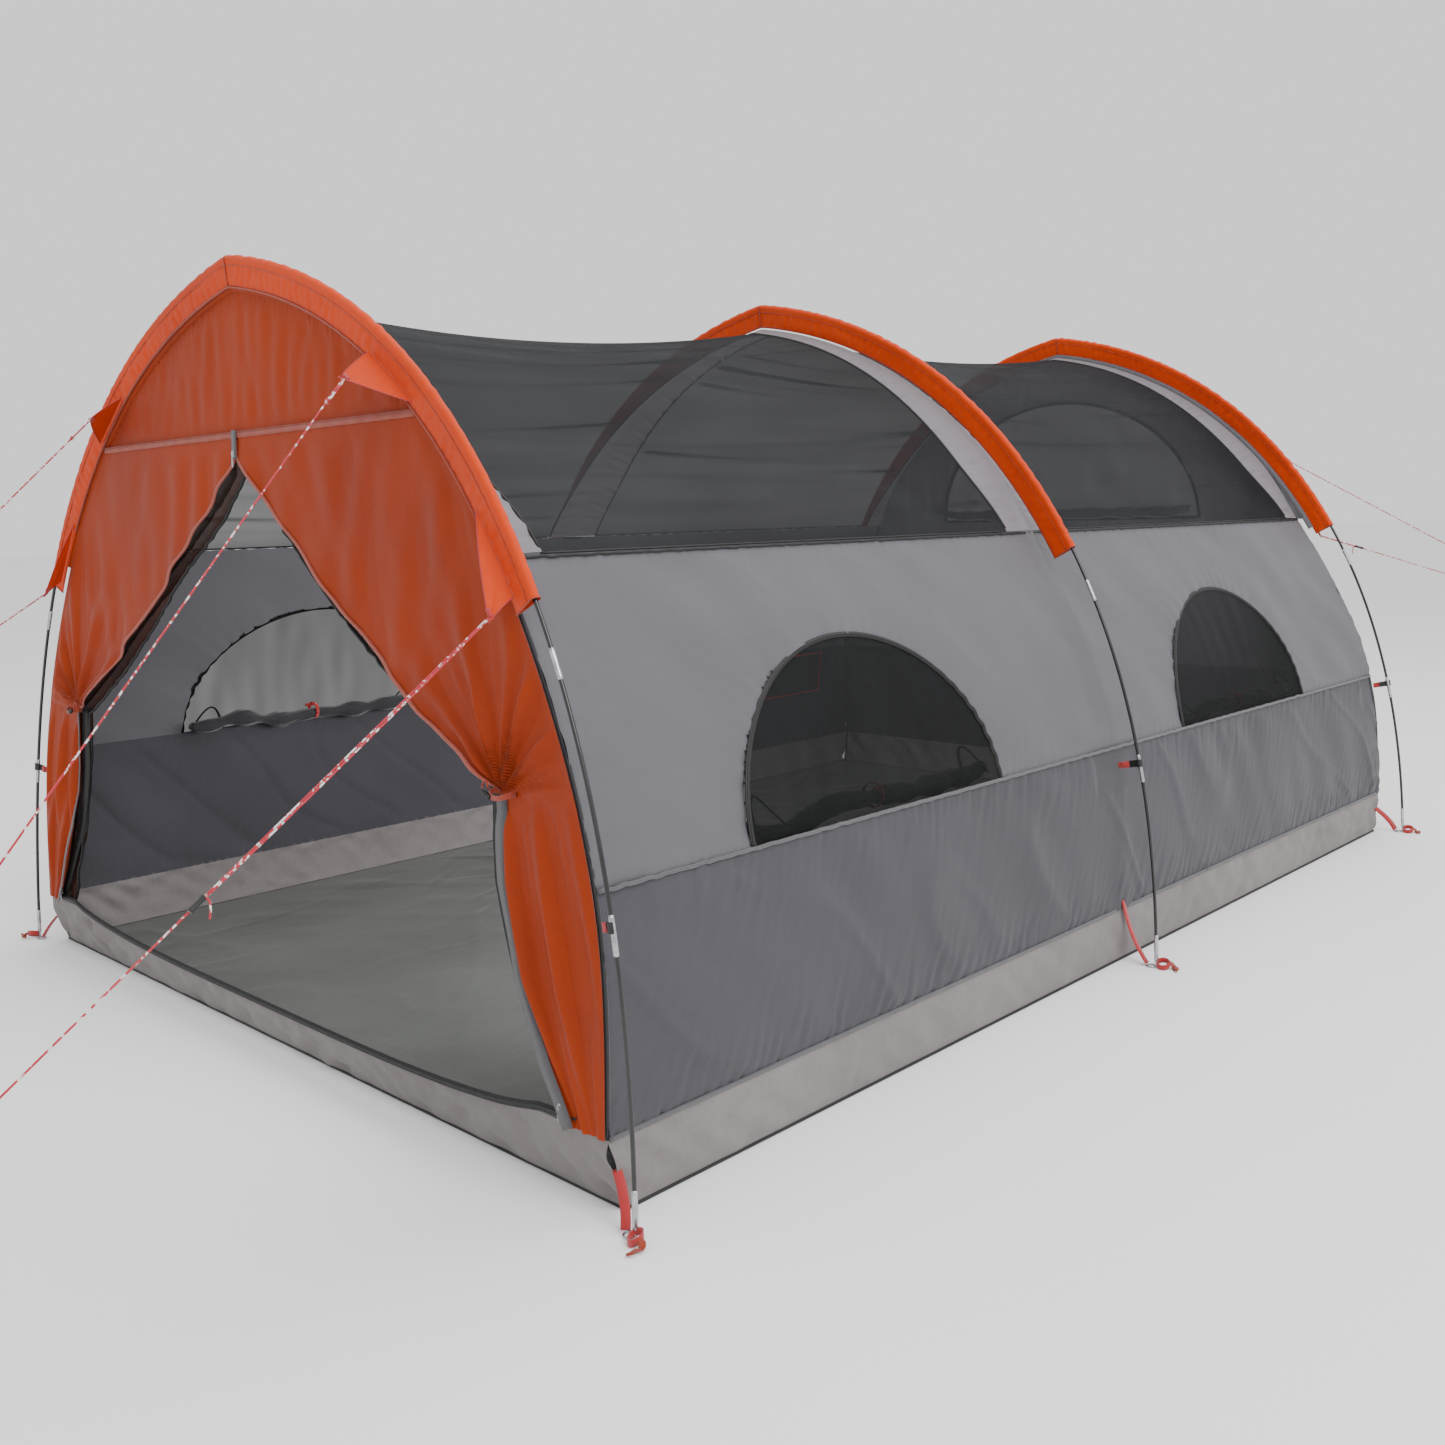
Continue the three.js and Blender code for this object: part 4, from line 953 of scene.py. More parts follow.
SAG_FRONT, SAG_REAR = 0.065, 0.050
front_roof = netting_roof("roof_netting_front", HOOPS["front"], HOOPS["middle"], SAG_FRONT,
                          "roof_mesh_front", 100)
rear_roof = netting_roof("roof_netting_rear", HOOPS["middle"], HOOPS["rear"], SAG_REAR,
                         "roof_mesh_rear", 103)
bindings = []
for grid in (front_roof, rear_roof):
    for edge in (grid[:, 0], grid[:, -1]):
        bindings.append(tube_mesh(edge[::2], 0.0035, 6))
    for edge in (grid[0], grid[-1]):
        bindings.append(tube_mesh(edge[::3], 0.0030, 6))
piece("roof_bindings", *gather(bindings), "zip_black")

# ---- Sleeves and guy patches -------------------------------------------------

SECTION = np.array([[0.0110, 0.0], [0.0098, 0.0050], [0.0060, 0.0092], [0.0, 0.0106], [-0.008, 0.0088],
                    [-0.018, 0.0072], [-0.032, 0.0060], [-0.048, 0.0036], [-0.062, 0.0010]])
SECTION = np.concatenate([SECTION, [[-0.0655, 0.0]], SECTION[:0:-1] * [1, -1]])


def sleeve(place):
    hoop = HOOPS[place]
    s0, s1 = float(hoop.s_of(-1, SLEEVE_END_T)), float(hoop.s_of(1, SLEEVE_END_T))
    s = np.linspace(s0, s1, 520)
    run = s * hoop.length
    out = SECTION[:, 0][None, :] + 0 * s[:, None]
    across = SECTION[:, 1][None, :] + 0 * s[:, None]
    flat = smoothstep(-out, 0.004, 0.035)
    pucker = ripples(run[:, None] + 0 * out, out, 110 + ord(place[0]), 0.040, 0.12)
    long_fold = ripples(run[:, None] + 0 * out, out, 111 + ord(place[0]), 0.5, 0.07)
    across = across + (0.0020 * pucker + 0.0022 * long_fold) * flat * smoothstep(out, -0.0655, -0.05)
    out = out + 0.0012 * ripples(run[:, None] + 0 * out, out * 0, 112 + ord(place[0]), 0.05, 1.0) * (out > 0)
    grid = hoop.at(np.repeat(s[:, None], out.shape[1], 1), out, across)
    rows, columns = grid.shape[:2]
    faces = []
    for i in range(rows - 1):
        for j in range(columns):
            k = (j + 1) % columns
            faces.append((i * columns + j, i * columns + k, (i + 1) * columns + k, (i + 1) * columns + j))
    made = piece(f"{place}_sleeve_cloth", grid.reshape(-1, 3), faces, "sleeve_cloth",
                 replaces=[f"sleeve_{place}"])
    trims = []
    for offset in (-0.0135, -0.060):
        for way in (-1, 1):
            half_thick = np.interp(offset, [-0.0655, -0.032, -0.008], [0.0, 0.0066, 0.0094])
            trims.append(tube_mesh(hoop.at(s[::3], offset, way * half_thick), 0.0009, 5))
    top = np.linspace(0.0105, -0.062, 12)
    for way in (-1, 1):
        half_thick = 0.0018 + np.interp(top, SECTION[:10, 0][::-1], SECTION[:10, 1][::-1])
        trims.append(tube_mesh(hoop.at(0.5 + 0 * top, top, way * half_thick), 0.0022, 6, 0.6))
    for end_s in (s0, s1):
        ring = hoop.at(end_s + 0 * SECTION[:, 0], SECTION[:, 0] * 1.02, SECTION[:, 1] * 1.15)
        ring = np.concatenate([ring, ring[:1]])
        trims.append(tube_mesh(ring, 0.0013, 6))
    piece(f"{place}_sleeve_stitching", *gather(trims), "orange_tape")


for place in HOOPS:
    sleeve(place)

PATCH_T = {"upper": (0.655, 0.715), "lower": (0.44, 0.50)}
for end in ("front", "rear"):
    tacks = []
    for level, (t0, t1) in PATCH_T.items():
        for side_name, side in SIDES.items():
            hoop = HOOPS[end]
            low = hoop.at(hoop.s_of(side, t0 - 0.012), -0.052)
            high = hoop.at(hoop.s_of(side, t1 + 0.012), -0.052)
            x, y, z = EYES[end][level]
            eye = np.array([side * x, y, z])
            u = np.linspace(0, 1, 16)
            v = np.linspace(0, 1, 16)
            base = low + (high - low) * v[:, None]
            spread = (high - low) / np.linalg.norm(high - low) * 0.009
            tip = eye + spread * (2 * v[:, None] - 1)
            grid = base[:, None, :] * (1 - u)[None, :, None] + tip[:, None, :] * u[None, :, None]
            pinch = 0.004 * np.sin(math.pi * u)[None, :] * np.cos(2 * math.pi * v)[:, None]
            outer = np.array([0, -1 if end == "front" else 1, 0])
            grid = grid + pinch[..., None] * outer + outer * 0.006 * (1 - u)[None, :, None]
            sheet(f"patch_{end}_{side_name}_{level}", grid, "sleeve_cloth", replaces=[f"sleeve_{end}"])
            bar = np.linspace(-1, 1, 6)[:, None] * spread * 1.1 + eye - (eye - (low + high) / 2) * 0.06
            tacks.append(ribbon_mesh(bar, eye - (low + high) / 2, 0.008, 0.0055))
            ring = np.linspace(0, 2 * math.pi, 16)
            way = eye - (low + high) / 2
            way /= np.linalg.norm(way)
            loop = (eye + way * (0.004 - 0.007 * np.cos(ring))[:, None]
                    + spread / 0.009 * 0.004 * np.sin(ring)[:, None])
            tacks.append(tube_mesh(loop, 0.0014, 6))
            for edge in (grid[0], grid[-1]):
                tacks.append(tube_mesh(edge, 0.0012, 5))
    piece(f"guy_tacks_{end}", *gather(tacks), "red_tape")

# ---- Front: gable, doors and mesh doors --------------------------------------

DOOR_TOP_Z = DOOR_SEAM_Z - 0.004
DOOR_EDGE = np.array([[0.160, 1.290], [0.280, 1.215], [0.430, 1.130], [0.620, 1.085], [0.800, 1.075],
                      [0.940, 0.820], [1.180, 0.470], [1.400, 0.165], [1.520, 0.002], [1.571, 0.002]])
TIE = np.array([1.075, 0.800])
ARCH_OUT = -0.069


def arch_half_x(z, out=ARCH_OUT):
    """Half the width at height z under the front hoop, offset outward."""
    points = HOOPS["front"].at(np.linspace(0.5, 1.0, 900), out)
    return np.interp(z, points[::-1, 2], points[::-1, 0])


def door_outer(z):
    return np.where(z <= WALL_TOP_Z, half_width(z) - 0.001, arch_half_x(np.maximum(z, WALL_TOP_Z), -0.072))


def blended_outer(z):
    """The door's outer edge, eased where the wall gives way to the arch."""
    offsets = np.linspace(-0.03, 0.03, 7)
    return np.mean([door_outer(np.clip(z + d, 0.16, DOOR_TOP_Z)) for d in offsets], axis=0)


def front_y(z):
    return end_wall_y("front", z)


def door_rows():
    return np.concatenate([np.linspace(0.160, 0.80, 90), np.linspace(0.805, DOOR_TOP_Z, 120)])


for side_name, side in SIDES.items():
    z = door_rows()
    inner = np.interp(z, DOOR_EDGE[:, 0], DOOR_EDGE[:, 1])
    inner = inner - 0.018 * np.sin(math.pi * np.clip((z - 0.8) / 0.72, 0, 1))
    outer = blended_outer(z)
    u = np.linspace(0, 1, 120)
    x = inner[:, None] + (outer - inner)[:, None] * u[None, :] ** 1.15
    zz = z[:, None] + 0 * x
    dx, dz = x - TIE[0], zz - TIE[1]
    away = np.hypot(dx, dz)
    angle = np.arctan2(dz, -dx)
    up = smoothstep(zz, 0.78, 0.84)
    free = smoothstep(outer[:, None] - x, 0.0, 0.06)
    from_tie = np.exp(-((away - 0.05) / 0.34) ** 2)
    fan = np.sin(angle * 13 + 1.2 * np.sin(angle * 3.1 + side)) + 0.6 * np.sin(angle * 25 + 2.0 + side)
    hanging = ripples(x, zz, 120 + side, 0.16, 0.9, turn_by=0.12)
    near_edge = np.exp(-(x - inner[:, None]) / 0.05)
    push_up = 0.012 * from_tie * fan * free + 0.0045 * hanging * free * smoothstep(DOOR_TOP_Z - zz, 0, 0.08)
    curl = 0.4 + 0.6 * np.sin(away * 17 + side)
    push_up = push_up + 0.010 * near_edge * curl * smoothstep(1.49 - zz, 0, 0.12)
    drop = np.clip((0.80 - zz) / 0.64, 0, 1)
    folds = np.sin(u[None, :] * 2 * math.pi * 2.3 + 0.8 * np.sin(zz * 9 + side) + 0.6)
    folds = folds + 0.5 * np.sin(u[None, :] * 2 * math.pi * 4.7 + zz * 7)
    push_down = (0.004 + 0.010 * np.sin(math.pi * np.clip(drop * 1.1, 0, 1))) * folds
    below_tie = 0.3 + 0.7 * smoothstep(drop, 0, 0.12)
    push_down = push_down * smoothstep(outer[:, None] - x, 0.0, 0.04) * below_tie
    cinch = 0.012 * bell(zz, 0.80, 0.05) * np.exp(-(x - inner[:, None]) / 0.10)
    y = front_y(z)[:, None] - 0.006 - np.maximum(up * push_up + (1 - up) * push_down - cinch, -0.004)
    grid = joined(side * x, y, zz)
    sheet(f"door_cloth_{side_name}", grid, "door_cloth",
          replaces=[f"door_{side_name}"], spare=1.1)

    # A hem tape down the free edge, grey below the tie as the flap of the zip.
    edge = grid[:, 0] + np.array([0, -0.0015, 0])
    upper_edge = edge[z > 0.80]
    lower_edge = edge[z <= 0.80]
    piece(f"door_hem_{side_name}", *ribbon_mesh(upper_edge[::2], (1, 0, 0), 0.010, 0.002), "orange_tape")
    flap = lower_edge + np.array([0, -0.004, 0])
    piece(f"door_flap_{side_name}", *ribbon_mesh(flap[::2], (side, 0.25, 0), 0.026, 0.0018), "grey_tape",
          slot="band_cloth")

    # The mesh door behind, showing as a strip past the edge, and gathered below the tie.
    v = np.linspace(0, 1, 60)
    reveal = 0.068 * smoothstep(1.522 - z, 0.0, 0.05) * (0.75 + 0.25 * np.sin(z * 11 + side))
    inner_mesh = inner - reveal * np.where(z < 0.8, 0.75, 1.0)
    outer_mesh = np.minimum(outer - 0.07, inner_mesh + 0.20)
    x = inner_mesh[:, None] + (outer_mesh - inner_mesh)[:, None] * v[None, :]
    zz = z[:, None] + 0 * x
    wavy = np.sin(v[None, :] * 15 + 2.2 * np.sin(zz * 6 + side) + zz * 9)
    y = front_y(z)[:, None] + 0.016 + 0.007 * wavy + 0.003 * ripples(x, zz, 130 + side, 0.05, 0.4)
    grid = np.stack([side * x, y, zz], -1)
    fold = 0.45 + 0.35 * wavy
    sheet(f"mesh_door_cloth_{side_name}", grid, "door_mesh", fold=fold,
          replaces=[f"mesh_door_{side_name}"], spare=1.1)
    binding = grid[:, 0] + np.array([0, -0.002, 0])
    piece(f"mesh_door_zip_{side_name}", *tube_mesh(binding[::2], 0.0048, 7, 0.7), "zip_black")

    # The tie: an orange loop round the gathered edge, and its toggle.
    tie_at = np.array([side * (TIE[0] + 0.012), float(front_y(0.80)) - 0.014, 0.80])
    ring = np.linspace(0, 2 * math.pi, 30)
    loop = tie_at + joined(side * 0.034 * np.cos(ring), 0.020 * np.sin(ring), 0.004 * np.cos(2 * ring))
    hook = tie_at + joined(side * np.linspace(-0.03, -0.052, 12), -0.012,
                           0.010 + 0.018 * np.sin(np.linspace(0, math.pi, 12)))
    tie = [ribbon_mesh(loop, (0, 0, 1), 0.011, 0.002), tube_mesh(hook, 0.0022, 6)]
    piece(f"door_tie_{side_name}", *gather(tie), "orange_tape")
    bar = tie_at + joined(side * np.linspace(-0.038, -0.014, 9), -0.022, np.linspace(0.006, -0.004, 9))
    piece(f"door_toggle_{side_name}", *tube_mesh(bar, 0.0052 + 0.0012 * np.cos(np.linspace(-3, 3, 9)), 10),
          "clip_plastic")

# Closed zip above the peak, under its grey flap.
z = np.linspace(DOOR_PEAK_Z - 0.004, DOOR_SEAM_Z + 0.012, 24)
strip = joined(0.0, front_y(z) - 0.0125, z)
piece("zip_flap_peak", *ribbon_mesh(strip, (1, 0, 0), 0.022, 0.002), "grey_tape", slot="band_cloth")

# Zip along the sill: tape on the tub's rim, and its chain.
x = np.linspace(-1.30, 1.30, 220)
rim_z = TUB_Z - sill_dip(x) + 0.006 + 0.010 * smoothstep(np.abs(x), 1.0, 1.3)
sill = joined(x, end_wall_y("front", rim_z) - 0.002, rim_z)
zip_parts = [ribbon_mesh(sill, (0, 0, 1), 0.017, 0.003), tube_mesh(sill + [0, -0.002, 0.002], 0.003, 6)]
piece("sill_zip", *gather(zip_parts), "zip_black")
z = np.linspace(0.17, 0.80, 60)
for side_name, side in SIDES.items():
    x = np.interp(z, DOOR_EDGE[:, 0], DOOR_EDGE[:, 1]) - 0.03 + 0.012 * np.sin(z * 8) + 0.03 * (1 - z / 0.8)
    hang = joined(side * x, end_wall_y("front", z) + 0.004, z)
    piece(f"hanging_zip_{side_name}", *ribbon_mesh(hang, (1, 0.3, 0), 0.022, 0.003), "zip_black")


def arch_wall(end, low, seed):
    """The wall under the canopy's arch above height low: its grid and its push."""
    hoop = HOOPS[end]
    s0 = float(hoop.s_at_height(low + 0.014, ARCH_OUT, -1))
    rim = hoop.at(np.linspace(s0, 1 - s0, 320), ARCH_OUT)
    v = np.linspace(0, 1, 46)
    z = low + (rim[:, 2] - low)[:, None] * v[None, :]
    grid = joined(rim[:, 0][:, None], end_wall_y(end, z), z)
    x = grid[..., 0]
    edge = smoothstep(rim[:, 2][:, None] - z, 0, 0.06)
    facing = np.sign(normals_of(grid)[160, 10:, 1].mean()) * (-1 if end == "front" else 1)
    slack = 0.0045 * ripples(x, z, seed, 0.5, 0.8, turn_by=0.4) + 0.002 * ripples(x, z, seed + 1, 0.09, 0.5)
    gathers = 0.0012 * ripples(x, z, seed + 2, 0.03, 0.2) * (1 - edge)
    return grid, facing * (slack * edge * smoothstep(z, low, low + 0.05) + gathers)


grid, push = arch_wall("front", DOOR_SEAM_Z, 140)
sheet("gable_cloth_front", grid, "door_cloth", push=push, replaces=["gable_front"])
x = np.linspace(-arch_half_x(DOOR_SEAM_Z) + 0.004, arch_half_x(DOOR_SEAM_Z) - 0.004, 200)
path = joined(x, float(front_y(DOOR_SEAM_Z)) - 0.0075 - 0.001 * np.cos(x * 90), DOOR_SEAM_Z)
piece("gable_seam", *gather([ribbon_mesh(path, (0, 0, 1), 0.014, 0.002),
                             tube_mesh(path + [0, -0.0015, 0.008], 0.0009, 5)]), "orange_tape")
for end, inward, look in (("front", 1, "door_cloth"), ("rear", -1, "upper_wall")):
    hoop = HOOPS[end]
    low = float(hoop.s_at_height(1.24, -0.066, -1))
    s = np.linspace(low, 1 - low, 300)
    outer, inner = hoop.at(s, -0.062, inward * 0.001), hoop.at(s, -0.076, inward * 0.013)
    piece(f"arch_flange_{end}", *ribbon_mesh((outer + inner) / 2, inner - outer, 0.022, 0.002), look)
rim = HOOPS["front"].at(np.linspace(0.27, 0.73, 300), -0.066, -0.002)
piece("gable_rim_seam", *tube_mesh(rim, 0.0032, 7, 0.7), "orange_tape")

# ---- Rear wall and its window ------------------------------------------------

REAR_A, REAR_LOW, REAR_B = 0.650, 1.290, 0.520
for name, look, low, high, seed in (("cloth_rear_lower", "lower_wall", TUB_Z, MID_SEAM_Z, 150),
                                    ("cloth_rear_middle", "upper_wall", MID_SEAM_Z, WALL_TOP_Z, 153)):
    z = np.linspace(low, high, 50)
    u = np.linspace(-1, 1, 240)[:, None]
    grid = joined(u * half_width(z)[None, :], end_wall_y("rear", z)[None, :], z[None, :])
    x, zz = grid[..., 0], grid[..., 2]
    free = smoothstep(zz, low, low + 0.05) * smoothstep(high - zz, 0, 0.05)
    at_seams = np.exp(-(zz - low) / 0.07) + np.exp(-(high - zz) / 0.06)
    push = (0.004 * ripples(x, zz, seed, 0.4, 0.9, turn_by=0.6) + 0.0035 * crease_lines(
        ripples(x, zz, seed + 2, 0.6, 1.6, turn_by=0.7), 0.16)) * free
    push = push + 0.0020 * ripples(x, zz, seed + 1, 0.036, 0.3) * at_seams
    node = "wall_rear_lower" if low == TUB_Z else "wall_rear_middle"
    sheet(name, grid, look, push=push, replaces=[node])

grid, push = arch_wall("rear", WALL_TOP_Z, 156)


def rear_reach(points):
    return np.hypot(points[..., 0] / REAR_A, (points[..., 2] - REAR_LOW) / REAR_B)


centres = (grid[1:, 1:] + grid[:-1, :-1]) / 2
inside = (rear_reach(centres) < 1) & (centres[..., 2] > REAR_LOW)
moved = grid.copy()
reach = np.maximum(rear_reach(grid), 1e-6)
above_sill = grid[..., 2] > REAR_LOW + 0.012
moved[above_sill, 0] = (grid[..., 0] / reach)[above_sill]
moved[above_sill, 2] = (REAR_LOW + (grid[..., 2] - REAR_LOW) / reach)[above_sill]
moved[~above_sill, 2] = REAR_LOW
moved[..., 1] = end_wall_y("rear", moved[..., 2])
fitted_to_edge(grid, inside, moved)
sheet("gable_cloth_rear", grid, "upper_wall", push=push, keep=~inside, replaces=["wall_rear_gable"])
fold = 0.3 + 0.1 * ripples(grid[..., 0], grid[..., 2], 158, 0.1, 0.6)
sheet("netting_rear", grid, "window_mesh", push=push * 0.5, keep=inside, fold=fold,
      replaces=["window_screen_rear"])
turn_by = np.linspace(0, math.pi, 120)
arch_z = REAR_LOW + REAR_B * np.sin(turn_by)
arch = joined(REAR_A * np.cos(turn_by), end_wall_y("rear", arch_z) - 0.001, arch_z)
radial = joined(np.cos(turn_by), 0.0, np.sin(turn_by))
sill = joined(np.linspace(-REAR_A, REAR_A, 50), end_wall_y("rear", REAR_LOW), REAR_LOW)
zip_parts = [ribbon_mesh(arch, radial, 0.014, 0.007), ribbon_mesh(sill, (0, 0, 1), 0.012, 0.006)]
piece("rear_window_zip", *gather(zip_parts), "zip_black")
along = np.linspace(-REAR_A * 0.96, REAR_A * 0.96, 90)
ends = np.clip((REAR_A - np.abs(along)) / 0.12, 0, 1) ** 0.6
core = joined(along, end_wall_y("rear", REAR_LOW) - 0.042, REAR_LOW + 0.026 + 0.02 * (1 - ends))
thick = (0.030 + 0.006 * ripples(along, 0 * along, 159, 0.18, 1)) * (0.5 + 0.5 * ends)
points, faces = tube_mesh(core, thick, 20, 0.75, start=(0, 0, 1))
roll = piece("rear_window_cover", points, faces, "cover_cloth", slot="lower_wall")
seams = []
for z, size in ((MID_SEAM_Z, 0.011), (WALL_TOP_Z, 0.011)):
    x = np.linspace(-1, 1, 160) * (float(half_width(z)) - 0.005)
    path = joined(x, end_wall_y("rear", z) + 0.003, z + 0.001 * ripples(x, 0 * x, 160, 0.06, 1))
    seams.append(ribbon_mesh(path, (0, 0, 1), size, 0.0025))
corners = []
for side in SIDES.values():
    for end, inward in (("front", 1), ("rear", -1)):
        z = np.linspace(0.006, WALL_TOP_Z, 90)
        corner = joined(side * (half_width(z) - 0.0065), end_wall_y(end, z) + inward * 0.006, z)
        corners.append(tube_mesh(corner, 0.0055, 8))
piece("rear_seams", *gather(seams), "grey_tape")
piece("corner_seams", *gather(corners), "cover_cloth", slot="lower_wall")

# A flat pocket with red piping low on the inner left wall, near the rear corner.
u = np.linspace(0, 1, 24)
y = 1.10 + 0.73 * u[:, None] + 0 * u[None, :]
z = 0.420 + 0.205 * u[None, :] + 0 * u[:, None]
belly = 0.014 * np.sin(math.pi * u)[:, None] * np.sin(math.pi * u * 0.8 + 0.2)[None, :]
grid = on_side_wall(-1, y, z, -0.012 - belly)
sheet("inner_pocket", grid, "cover_cloth", slot="lower_wall")
outline = np.concatenate([grid[:, 0], grid[-1, :], grid[::-1, -1], grid[0, ::-1]])
piece("inner_pocket_piping", *tube_mesh(outline, 0.0045, 6), "red_tape")

# ---- Poles, elbows and ferrules ----------------------------------------------

POLE_R = 0.00475
for place, hoop in HOOPS.items():
    for side_name, side in SIDES.items():
        t = np.linspace(0.006, 0.985, 220)
        s = np.array([hoop.s_of(side, k) for k in t])
        points, faces = tube_mesh(hoop.at(s), POLE_R, 14)
        piece(f"pole_tube_{place}_{side_name}", points, faces, "pole_black",
              replaces=[f"pole_{place}_{side_name}"])
        metal = []
        for t0, t1, radius in ((0.0055, 0.028, 0.0060), (0.166, 0.192, 0.0059), (0.352, 0.376, 0.0059)):
            k = np.linspace(t0, t1, 14)
            shape = radius * (1 - 0.12 * np.exp(-np.minimum(k - t0, t1 - k) / 0.0006))
            shape = shape - 0.0006 * bell(k, t0 + 0.2 * (t1 - t0), 0.0010)
            metal.append(tube_mesh(hoop.at(np.array([hoop.s_of(side, q) for q in k])), shape, 14))
        piece(f"ferrules_{place}_{side_name}", *gather(metal), "steel")
    s = np.linspace(float(hoop.s_of(-1, 0.95)), float(hoop.s_of(1, 0.95)), 60)
    points, faces = tube_mesh(hoop.at(s), 0.0066, 16)
    piece(f"elbow_{place}", points, faces, "pole_black", replaces=[f"pole_{place}_elbow"])

# ---- Clips: a red web from the wall, and a black hook that snaps over the pole ----


HOOK_R = 0.0085  # from the pole's centre to the middle of the hook's wall


def clip_place(place, side):
    """Where a clip grips its pole, the pole's direction there, and where its web is sewn on."""
    hoop = HOOPS[place]
    grip = hoop.at(hoop.s_of(side, CLIP_T))
    a, b = hoop.at(hoop.s_of(side, CLIP_T - 0.01)), hoop.at(hoop.s_of(side, CLIP_T + 0.01))
    axis = (b - a) / np.linalg.norm(b - a)
    seam = np.array([side * (float(half_width(grip[2])) + 0.003), CLIP_SEAM_Y[place], grip[2]])
    return grip, axis, seam + axis * float((grip - seam) @ axis)


for place in HOOPS:
    for side_name, side in SIDES.items():
        grip, axis, seam = clip_place(place, side)
        reach = grip - seam
        length = np.linalg.norm(reach)
        out = reach / length
        swing = side * (-1 if place == "rear" else 1)
        up = axis * swing
        over = np.cross(up, out)
        angles = np.linspace(math.pi + 0.02, 2 * math.pi - 0.20, 26)[:, None]
        profile = grip + (out * np.cos(angles) + over * np.sin(angles)) * HOOK_R
        hook = [ribbon_mesh(profile, up, 0.022, 0.0034)]
        shank = seam + out * np.linspace(length * 0.45, length - 0.0082, 8)[:, None]
        hook.append(ribbon_mesh(shank, up, 0.020, 0.0034))
        body = f"clip_{place}_{side_name}"
        made = piece(f"hook_{place}_{side_name}", *gather(hook), "clip_plastic", body=body, replaces=[body],
                     smooth=False)
        bevelled(made, 0.0009)
        web = seam + out * np.linspace(0.002, length * 0.55, 14)[:, None]
        web = web - over * (0.0026 * np.sin(np.linspace(0, math.pi, 14)))[:, None]
        fold_back = web[6:][::-1] - over * 0.0030
        piece(f"web_{place}_{side_name}", *gather([ribbon_mesh(web, up, 0.019, 0.0018),
                                                   ribbon_mesh(fold_back, up, 0.019, 0.0016)]),
              "red_tape", body=f"clip_{place}_{side_name}")

# ---- Feet: ring and pin, the strap that holds them, and the peg loop ---------

straps, loops = [], []
for place, hoop in HOOPS.items():
    for side_name, side in SIDES.items():
        foot = hoop.at(hoop.s_of(side, 0.006))
        pin_z = np.array([0.0, 0.004, 0.010, 0.040, 0.0445, 0.046])
        pin_r = np.array([0.0018, 0.0030, 0.0030, 0.0030, 0.0026, 0.0012])
        pin = tube_mesh(joined(foot[0], foot[1], pin_z + 0.0002), pin_r, 14)
        ring = np.linspace(0, 2 * math.pi, 49)[:-1]
        centre = np.array([foot[0] - side * 0.015, foot[1], 0.0024])
        path = centre + np.stack([0.013 * np.cos(ring), 0.013 * np.sin(ring), 0 * ring], -1)
        torus = tube_mesh(np.concatenate([path, path[:2]]), 0.0022, 10)
        piece(f"ring_pin_{place}_{side_name}", *gather([pin, torus]), "steel",
              replaces=[f"foot_pin_{place}_{side_name}"])
        # The strap comes down from the tub to the ring.
        if place == "middle":
            top = np.array([side * 1.3915, hoop.plane_y(0.18), 0.185])
            belly = np.array([side * 1.415, foot[1], 0.075])
        else:
            inward = 1 if place == "front" else -1
            top = np.array([side * 1.386, float(end_wall_y(place, 0.09)) + inward * 0.004, 0.095])
            belly = (top + centre) / 2 + np.array([side * 0.012, 0, 0.004])
        k = np.linspace(0, 1, 20)[:, None]
        end = centre + np.array([-side * 0.013, 0, 0.0045])
        strap = top * (1 - k) ** 2 + 2 * belly * k * (1 - k) + end * k ** 2
        width_way = np.array([0, 1, 0.0]) if place == "middle" else np.array([side * 0.55, 0.8, 0])
        straps.append(ribbon_mesh(strap, width_way, 0.020, 0.0022))
        # The peg loop lies on the ground beyond the ring, with its tail.
        away = np.array([side * 0.75, -0.66 if place == "front" else 0.10, 0])
        away /= np.linalg.norm(away)
        across = np.cross([0, 0, 1], away)
        k = np.linspace(0, 2 * math.pi, 34)
        loop = foot + away * (0.020 - 0.018 * np.cos(k))[:, None] + across * (0.015 * np.sin(k))[:, None]
        loop[:, 2] = 0.010 + 0.007 * np.sin(k) + 0.004
        straps.append(ribbon_mesh(loop, (0, 0, 1), 0.015, 0.0022))
        k = np.linspace(0, 1, 12)[:, None]
        tail = foot + away * (0.034 + 0.034 * k) + across * (0.012 * np.sin(k * 5))
        tail[:, 2] = 0.014 - 0.010 * k[:, 0] + 0.004 * np.sin(k[:, 0] * 9)
        loops.append(ribbon_mesh(tail, across + np.array([0, 0, 0.5]), 0.015, 0.002))
piece("foot_straps", *gather(straps), "red_tape")
piece("peg_loop_tails", *gather(loops), "orange_tape")

# ---- Runners and zip sliders -------------------------------------------------

